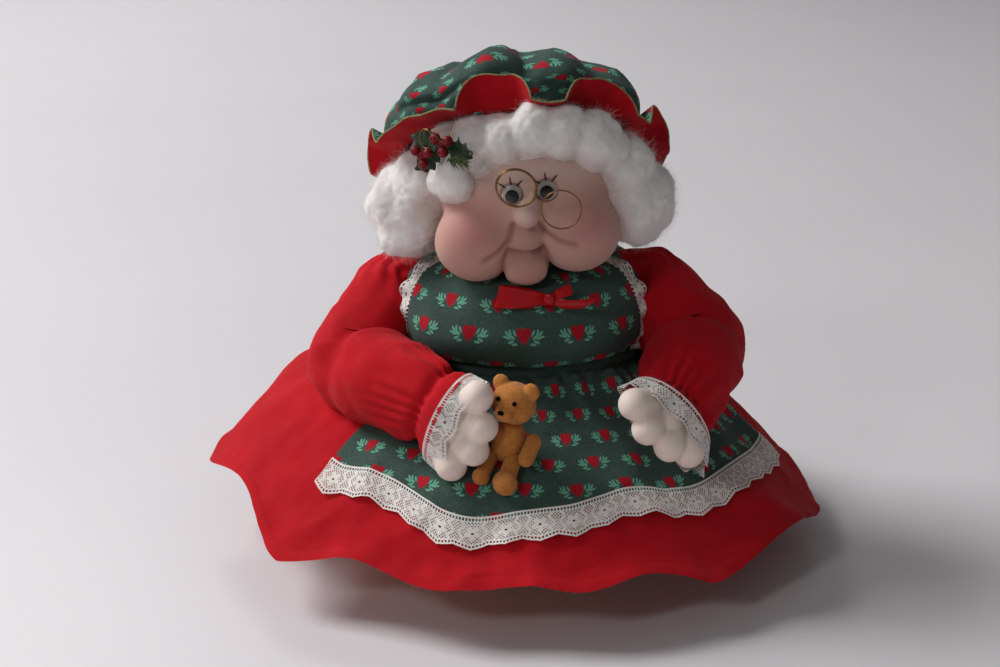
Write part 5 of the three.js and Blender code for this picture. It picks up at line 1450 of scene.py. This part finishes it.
# Cap
def crown_surface(angle, along):
    radius, height = np.moveaxis(catmull(CROWN, along + 0 * angle), -1, 0)
    puff = fold_height(CAP_CREASES, angle) * np.sin(np.pi * along) * CREASE_GAIN * (1 - along)
    radius = np.maximum(radius - puff, 0)
    return bearing(angle, radius, radius, height - puff * along)


def make_crown():
    rows = np.linspace(0, 0.998, 80)
    angle, along = round_grid(rows, 300)
    plain = crown_surface(angle, along)
    pleats = np.cos(19 * angle + 2.2 * np.sin(3 * angle) + 1.0)
    pleats = pleats + 0.7 * np.cos(31 * angle + 2 * np.sin(5 * angle))
    knob = bell(angle - math.radians(-4), 0.2) * bell(along - 0.5, 0.16)
    roll = bell(along - 0.34 - 0.1 * np.sin(2 * angle), 0.05) * bell(angle - math.radians(-40), 0.6)
    lift = 1.2 * pleats * np.exp(-along / 0.14) + 4.0 * knob - 2.2 * roll
    lift = lift + 1.6 * (0.6 - np.abs(ripple(plain, 44, 61))) + 0.4 * ripple(plain, 13, 62)
    cloth = to_cap(lifted(crown_surface, angle, along, lift * smooth_step(along, 1.0, 0.85)))
    spread = (1 - rows)[:, None] * CROWN_CLOTH
    spin = np.linspace(-np.pi, np.pi, 301)[None, :]
    uv = np.stack([spread * np.sin(spin), spread * np.cos(spin)], -1)
    node = "cap_crown"
    sheet(f"{node}_cloth", node, cloth, uv, "print", "head", wrap=True)


def make_elastic():
    around = np.linspace(0, 2 * np.pi, 160, endpoint=False)
    wave = 1.6 + 0.5 * np.sin(24 * around)
    ring = np.stack([ELASTIC_RADIUS * np.cos(around), ELASTIC_RADIUS * np.sin(around), wave], -1)
    elastic = tube_object("cap_elastic_cord", [to_cap(ring)], 1.1, kit["lace"], 10, closed=True)
    fit(elastic, "head", "cap_elastic")


def ruffle_tilt(angle):
    """Degrees that the ruffle turns up: it hangs in folds between its flips."""
    tilt = RUFFLE_HANG + 0 * angle
    for middle, half, up in RUFFLE_FLIPS:
        aside = np.abs((angle - math.radians(middle) + np.pi) % (2 * np.pi) - np.pi)
        tilt = tilt + (up - RUFFLE_HANG) * smooth_step(aside / math.radians(half), 1.35, 0.55)
    return tilt


def ruffle_points(angle, out, below):
    """Ruffle with its edges swept sideways over the folds between its flips."""
    step = math.radians(2)
    tilt = np.radians(ruffle_tilt(angle)) * smooth_step(out, 0.0, 0.45)
    sway = (ruffle_tilt(angle - step) - ruffle_tilt(angle + step)) * math.radians(0.07) * out**1.5
    reach = RUFFLE_WIDTH * out
    radius = RUFFLE_RADIUS + reach * np.cos(tilt) + below * np.sin(tilt)
    height = reach * np.sin(tilt) - below * np.cos(tilt) + 0.7 * np.sin(23 * angle) * out
    return bearing(angle + sway, radius, radius, height)


def make_ruffle():
    rows = np.linspace(0, 1, 26)
    angle, out = round_grid(rows, 400)
    uv = band_places(-rows * RUFFLE_WIDTH, 400, RUFFLE_CLOTH)
    layers = (
        ("cap_ruffle_cloth", "cap_ruffle", 0.2, "print", "cap_crown_cloth"),
        ("cap_lining_cloth", "cap_ruffle_lining", 1.2, "lining", "cap_ruffle_cloth"),
    )
    for name, node, below, material, rests_on in layers:
        points = to_cap(ruffle_points(angle, out, below))
        sheet(name, node, points, uv, material, "head", wrap=True)
    rim = ruffle_points(np.linspace(-np.pi, np.pi, 600, endpoint=False), np.full(600, 1.0), 0.7)
    fit(tube_object("cap_edge_thread", [to_cap(rim)], 0.45, kit["thread"], 8, closed=True), "head")


# Holly sprig
def holly_leaf(degrees, depth):
    """Leaf with spines along both edges and a dished blade."""
    share = np.linspace(0, 1, 49)[:, None]
    across = np.linspace(-1, 1, 13)[None, :]
    spines = np.abs((share * 4.0) % 1 - 0.5) * 2
    half = LEAF_HALF * np.sin(np.pi * np.clip(share, 0.02, 0.985)) ** 0.8
    half = half * (0.62 + 0.38 * spines**1.6)
    wave = -0.9 * across**2 * np.sin(share * np.pi * 8) * 0.7
    y = wave + 0.7 * np.abs(across) - 1.2 * share**2
    points = np.stack([share * LEAF_LENGTH - 0.5 + 0 * across, y, half * across], -1) @ turn("Y", -degrees).T
    return points + (0, depth, 0)


def make_leaves():
    for index, degrees in enumerate(LEAF_TURNS):
        blade = to_sprig(holly_leaf(degrees, -0.6 - index * 1.55))
        leaf = mesh_object(f"holly_leaf_{index + 1}_blade", blade, grid_faces(49, 13).tolist(), kit["leaf"])
        leaf.modifiers.new("thickness", "SOLIDIFY").thickness = 0.5 * MM
        fit(leaf, "head", f"holly_leaf_{index + 1}")


def make_berries():
    rows, columns = 16, 24
    ways = sphere_directions(rows, columns)
    dimple = 1 - 0.12 * bell(1 + ways[..., 1], 0.08)
    for index, (spot, seed) in enumerate(BERRY_CLUSTERS):
        rng = np.random.default_rng(seed)
        points, faces = [], []
        for offset in np.array(BERRY_SPREAD) * BERRY_SPACING:
            size = BERRY_RADIUS * rng.uniform(0.9, 1.05)
            start = len(points) * rows * columns
            points.append(np.array(spot) + offset + ways * size * dimple[..., None])
            faces += (grid_faces(rows, columns, True) + start).tolist()
            ring = [start + j for j in range(columns)]
            faces.append(ring)
            faces.append([(rows - 1) * columns + j for j in ring[::-1]])
        name = f"holly_berries_{index + 1}"
        fit(mesh_object(f"{name}_round", to_sprig(np.array(points)), faces, kit["berry"]), "head", name)


def make_pine_tip():
    rng = np.random.default_rng(73)
    steps = np.linspace(0, 1, 4)[:, None]
    needles = []
    for share in np.linspace(0, 1, 110):
        base = np.array(PINE_FOOT) + (PINE_STEM * share, 0, 0)
        spin = rng.uniform(0, 2 * np.pi)
        way = unit(np.array([0.75, 0.75 * math.cos(spin) - 0.1, 0.75 * math.sin(spin)]))
        long = rng.uniform(4.0, 6.5) * (1 - 0.45 * share)
        needles.append(to_sprig(base + way * np.linspace(0, long, 4)[:, None] - (0, 0, 0.5) * steps**2))
    tuft = tube_object("holly_pine_tuft", needles, np.linspace(0.22, 0.06, 4), kit["needle"], 4)
    fit(tuft, "head", "holly_pine_tip")


def make_sprig_wire():
    around = np.linspace(-0.9, 2 * np.pi + 0.6, 70)
    depth = -5.2 - 0.5 * np.sin(around * 0.5)
    loop = [SPRIG_LOOP * np.cos(around) - 6.3, depth, SPRIG_LOOP * np.sin(around) + 4.0]
    share = np.linspace(0, 1, 40)
    curl = [-2 + 13 * share, -5.6 - 1.5 * np.sin(share * 6), 6 + 2.2 * np.sin(share * 9)]
    paths = [to_sprig(np.stack(path, -1)) for path in (loop, curl)]
    fit(tube_object("holly_wire_curl", paths, SPRIG_WIRE, kit["wire"], 8), "head", "holly_wire")


def make_sprig():
    make_leaves()
    make_berries()
    make_pine_tip()
    make_sprig_wire()


# Bear
def flocked(name, parts, voxel, smoothing, body, seed):
    """Stuffed part of the bear under short fibres."""
    obj = fuse(f"{name}_flock", [to_bear(part) for part in parts], voxel, smoothing, kit["flock"])
    fit(obj, body, name)
    coat = (FUZZ_COUNT, FUZZ_LENGTH, FUZZ_WIDTH, 0.3, kit["flock"], seed, 3)
    fit(fibres(f"{name}_flock_fuzz", *surface_normals(obj), *coat), body)


def bead(name, centre, radii):
    fit(rounded(f"{name}_bead", to_bear(ball_part(centre, radii, 12, 18)), "black"), "bear_head", name)


def make_bear():
    flocked("bear_body", [ball_part((0, 0, 0), BEAR_BODY_RADII, 24, 32)], 0.7, 3, "arm_right", 81)
    flocked("bear_head", [ball_part(*ball) for ball in BEAR_HEAD], 0.6, 4, "bear_head", 82)
    for name, side in (("right", -1), ("left", 1)):
        peg, hip, out = (np.array(spot) * (side, 1, 1) for spot in (BEAR_SHOULDER, BEAR_HIP, BEAR_EYE_WAY))
        arm = [capsule_part(peg, peg + BEAR_ARM, BEAR_ARM_RADIUS)]
        flocked(f"bear_arm_{name}", arm, 0.6, 3, f"bear_arm_{name}", 83 + side)
        foot = hip + (1.2 + 0.8 * side, -9.75, -7.35 + 0.35 * side)
        wide = 5.05 + 0.85 * side
        leg = [capsule_part(hip, foot, 3.8 + 0.2 * side), ball_part(foot, (wide, 4.6 + 0.4 * side, wide))]
        flocked(f"bear_leg_{name}", leg, 0.6, 3, f"bear_leg_{name}", 86 + side)
        bead(f"bear_eye_{name}", unit(out) * BEAR_EYE_REACH + BEAR_FACE, (BEAR_EYE_RADIUS,) * 3)
    bead("bear_nose", BEAR_NOSE, BEAR_NOSE_RADII)


# Stage
def make_floor():
    ground = Finish("pale_floor", 0xE6E2E5, 0.34, Specular_IOR_Level=0.4).spots(300, 0.2, 0xD8D4D8, 2)
    angle = np.linspace(0, 2 * np.pi, 64, endpoint=False)
    rings = np.stack([bearing(angle, r, r, 0 * angle - FLOOR_DROP) for r in (2, 200, 500, 1000, 2000, 4000)])
    closed_object("floor", rings, ground.material, (0, 0, -FLOOR_DROP))


def make_world():
    """Dim even light, with a pale backdrop that only the camera sees."""
    world = bpy.data.worlds.new("studio")
    bpy.context.scene.world = world
    world.use_nodes = True
    tree = world.node_tree
    light = tree.nodes["Background"]
    light.inputs["Color"].default_value = (1, 1, 1, 1)
    light.inputs["Strength"].default_value = EVEN_LIGHT
    seen = tree.nodes.new("ShaderNodeBackground")
    seen.inputs["Color"].default_value = colour(BACKDROP)
    seen.inputs["Strength"].default_value = 1.0
    path = tree.nodes.new("ShaderNodeLightPath")
    choose = tree.nodes.new("ShaderNodeMixShader")
    tree.links.new(path.outputs["Is Camera Ray"], choose.inputs[0])
    tree.links.new(light.outputs[0], choose.inputs[1])
    tree.links.new(seen.outputs[0], choose.inputs[2])
    tree.links.new(choose.outputs[0], tree.nodes["World Output"].inputs["Surface"])


def linked(name, data, spot, target):
    """Lamp or camera at a spot, turned towards a target."""
    obj = bpy.data.objects.new(name, data)
    obj.location = spot
    obj.rotation_euler = (Vector(target) - Vector(spot)).to_track_quat("-Z", "Y").to_euler()
    bpy.context.scene.collection.objects.link(obj)
    return obj


def make_lamps():
    for name, (spot, target, size, power) in LAMPS.items():
        data = bpy.data.lights.new(name, "AREA")
        data.size = size
        data.energy = power
        linked(name, data, spot, target)


def make_camera():
    rise = math.radians(CAMERA_RISE)
    spot = Vector(CAMERA_AIM) + Vector((0, -math.cos(rise), math.sin(rise))) * CAMERA_DISTANCE
    data = bpy.data.cameras.new("camera")
    data.sensor_width = CAMERA_SENSOR
    data.lens = CAMERA_LENS
    bpy.context.scene.camera = linked("camera", data, spot, CAMERA_AIM)
    bpy.context.scene.view_settings.view_transform = "Standard"


make_camera()
make_floor()
make_world()
make_lamps()
make_body()
make_base()
make_skirt()
make_bodice()
make_lap()
make_bib()
make_waistband()
make_straps()
make_bows()
make_arms()
make_head()
make_eyes()
make_spectacles()
make_hair()
make_crown()
make_elastic()
make_ruffle()
make_sprig()
make_bear()
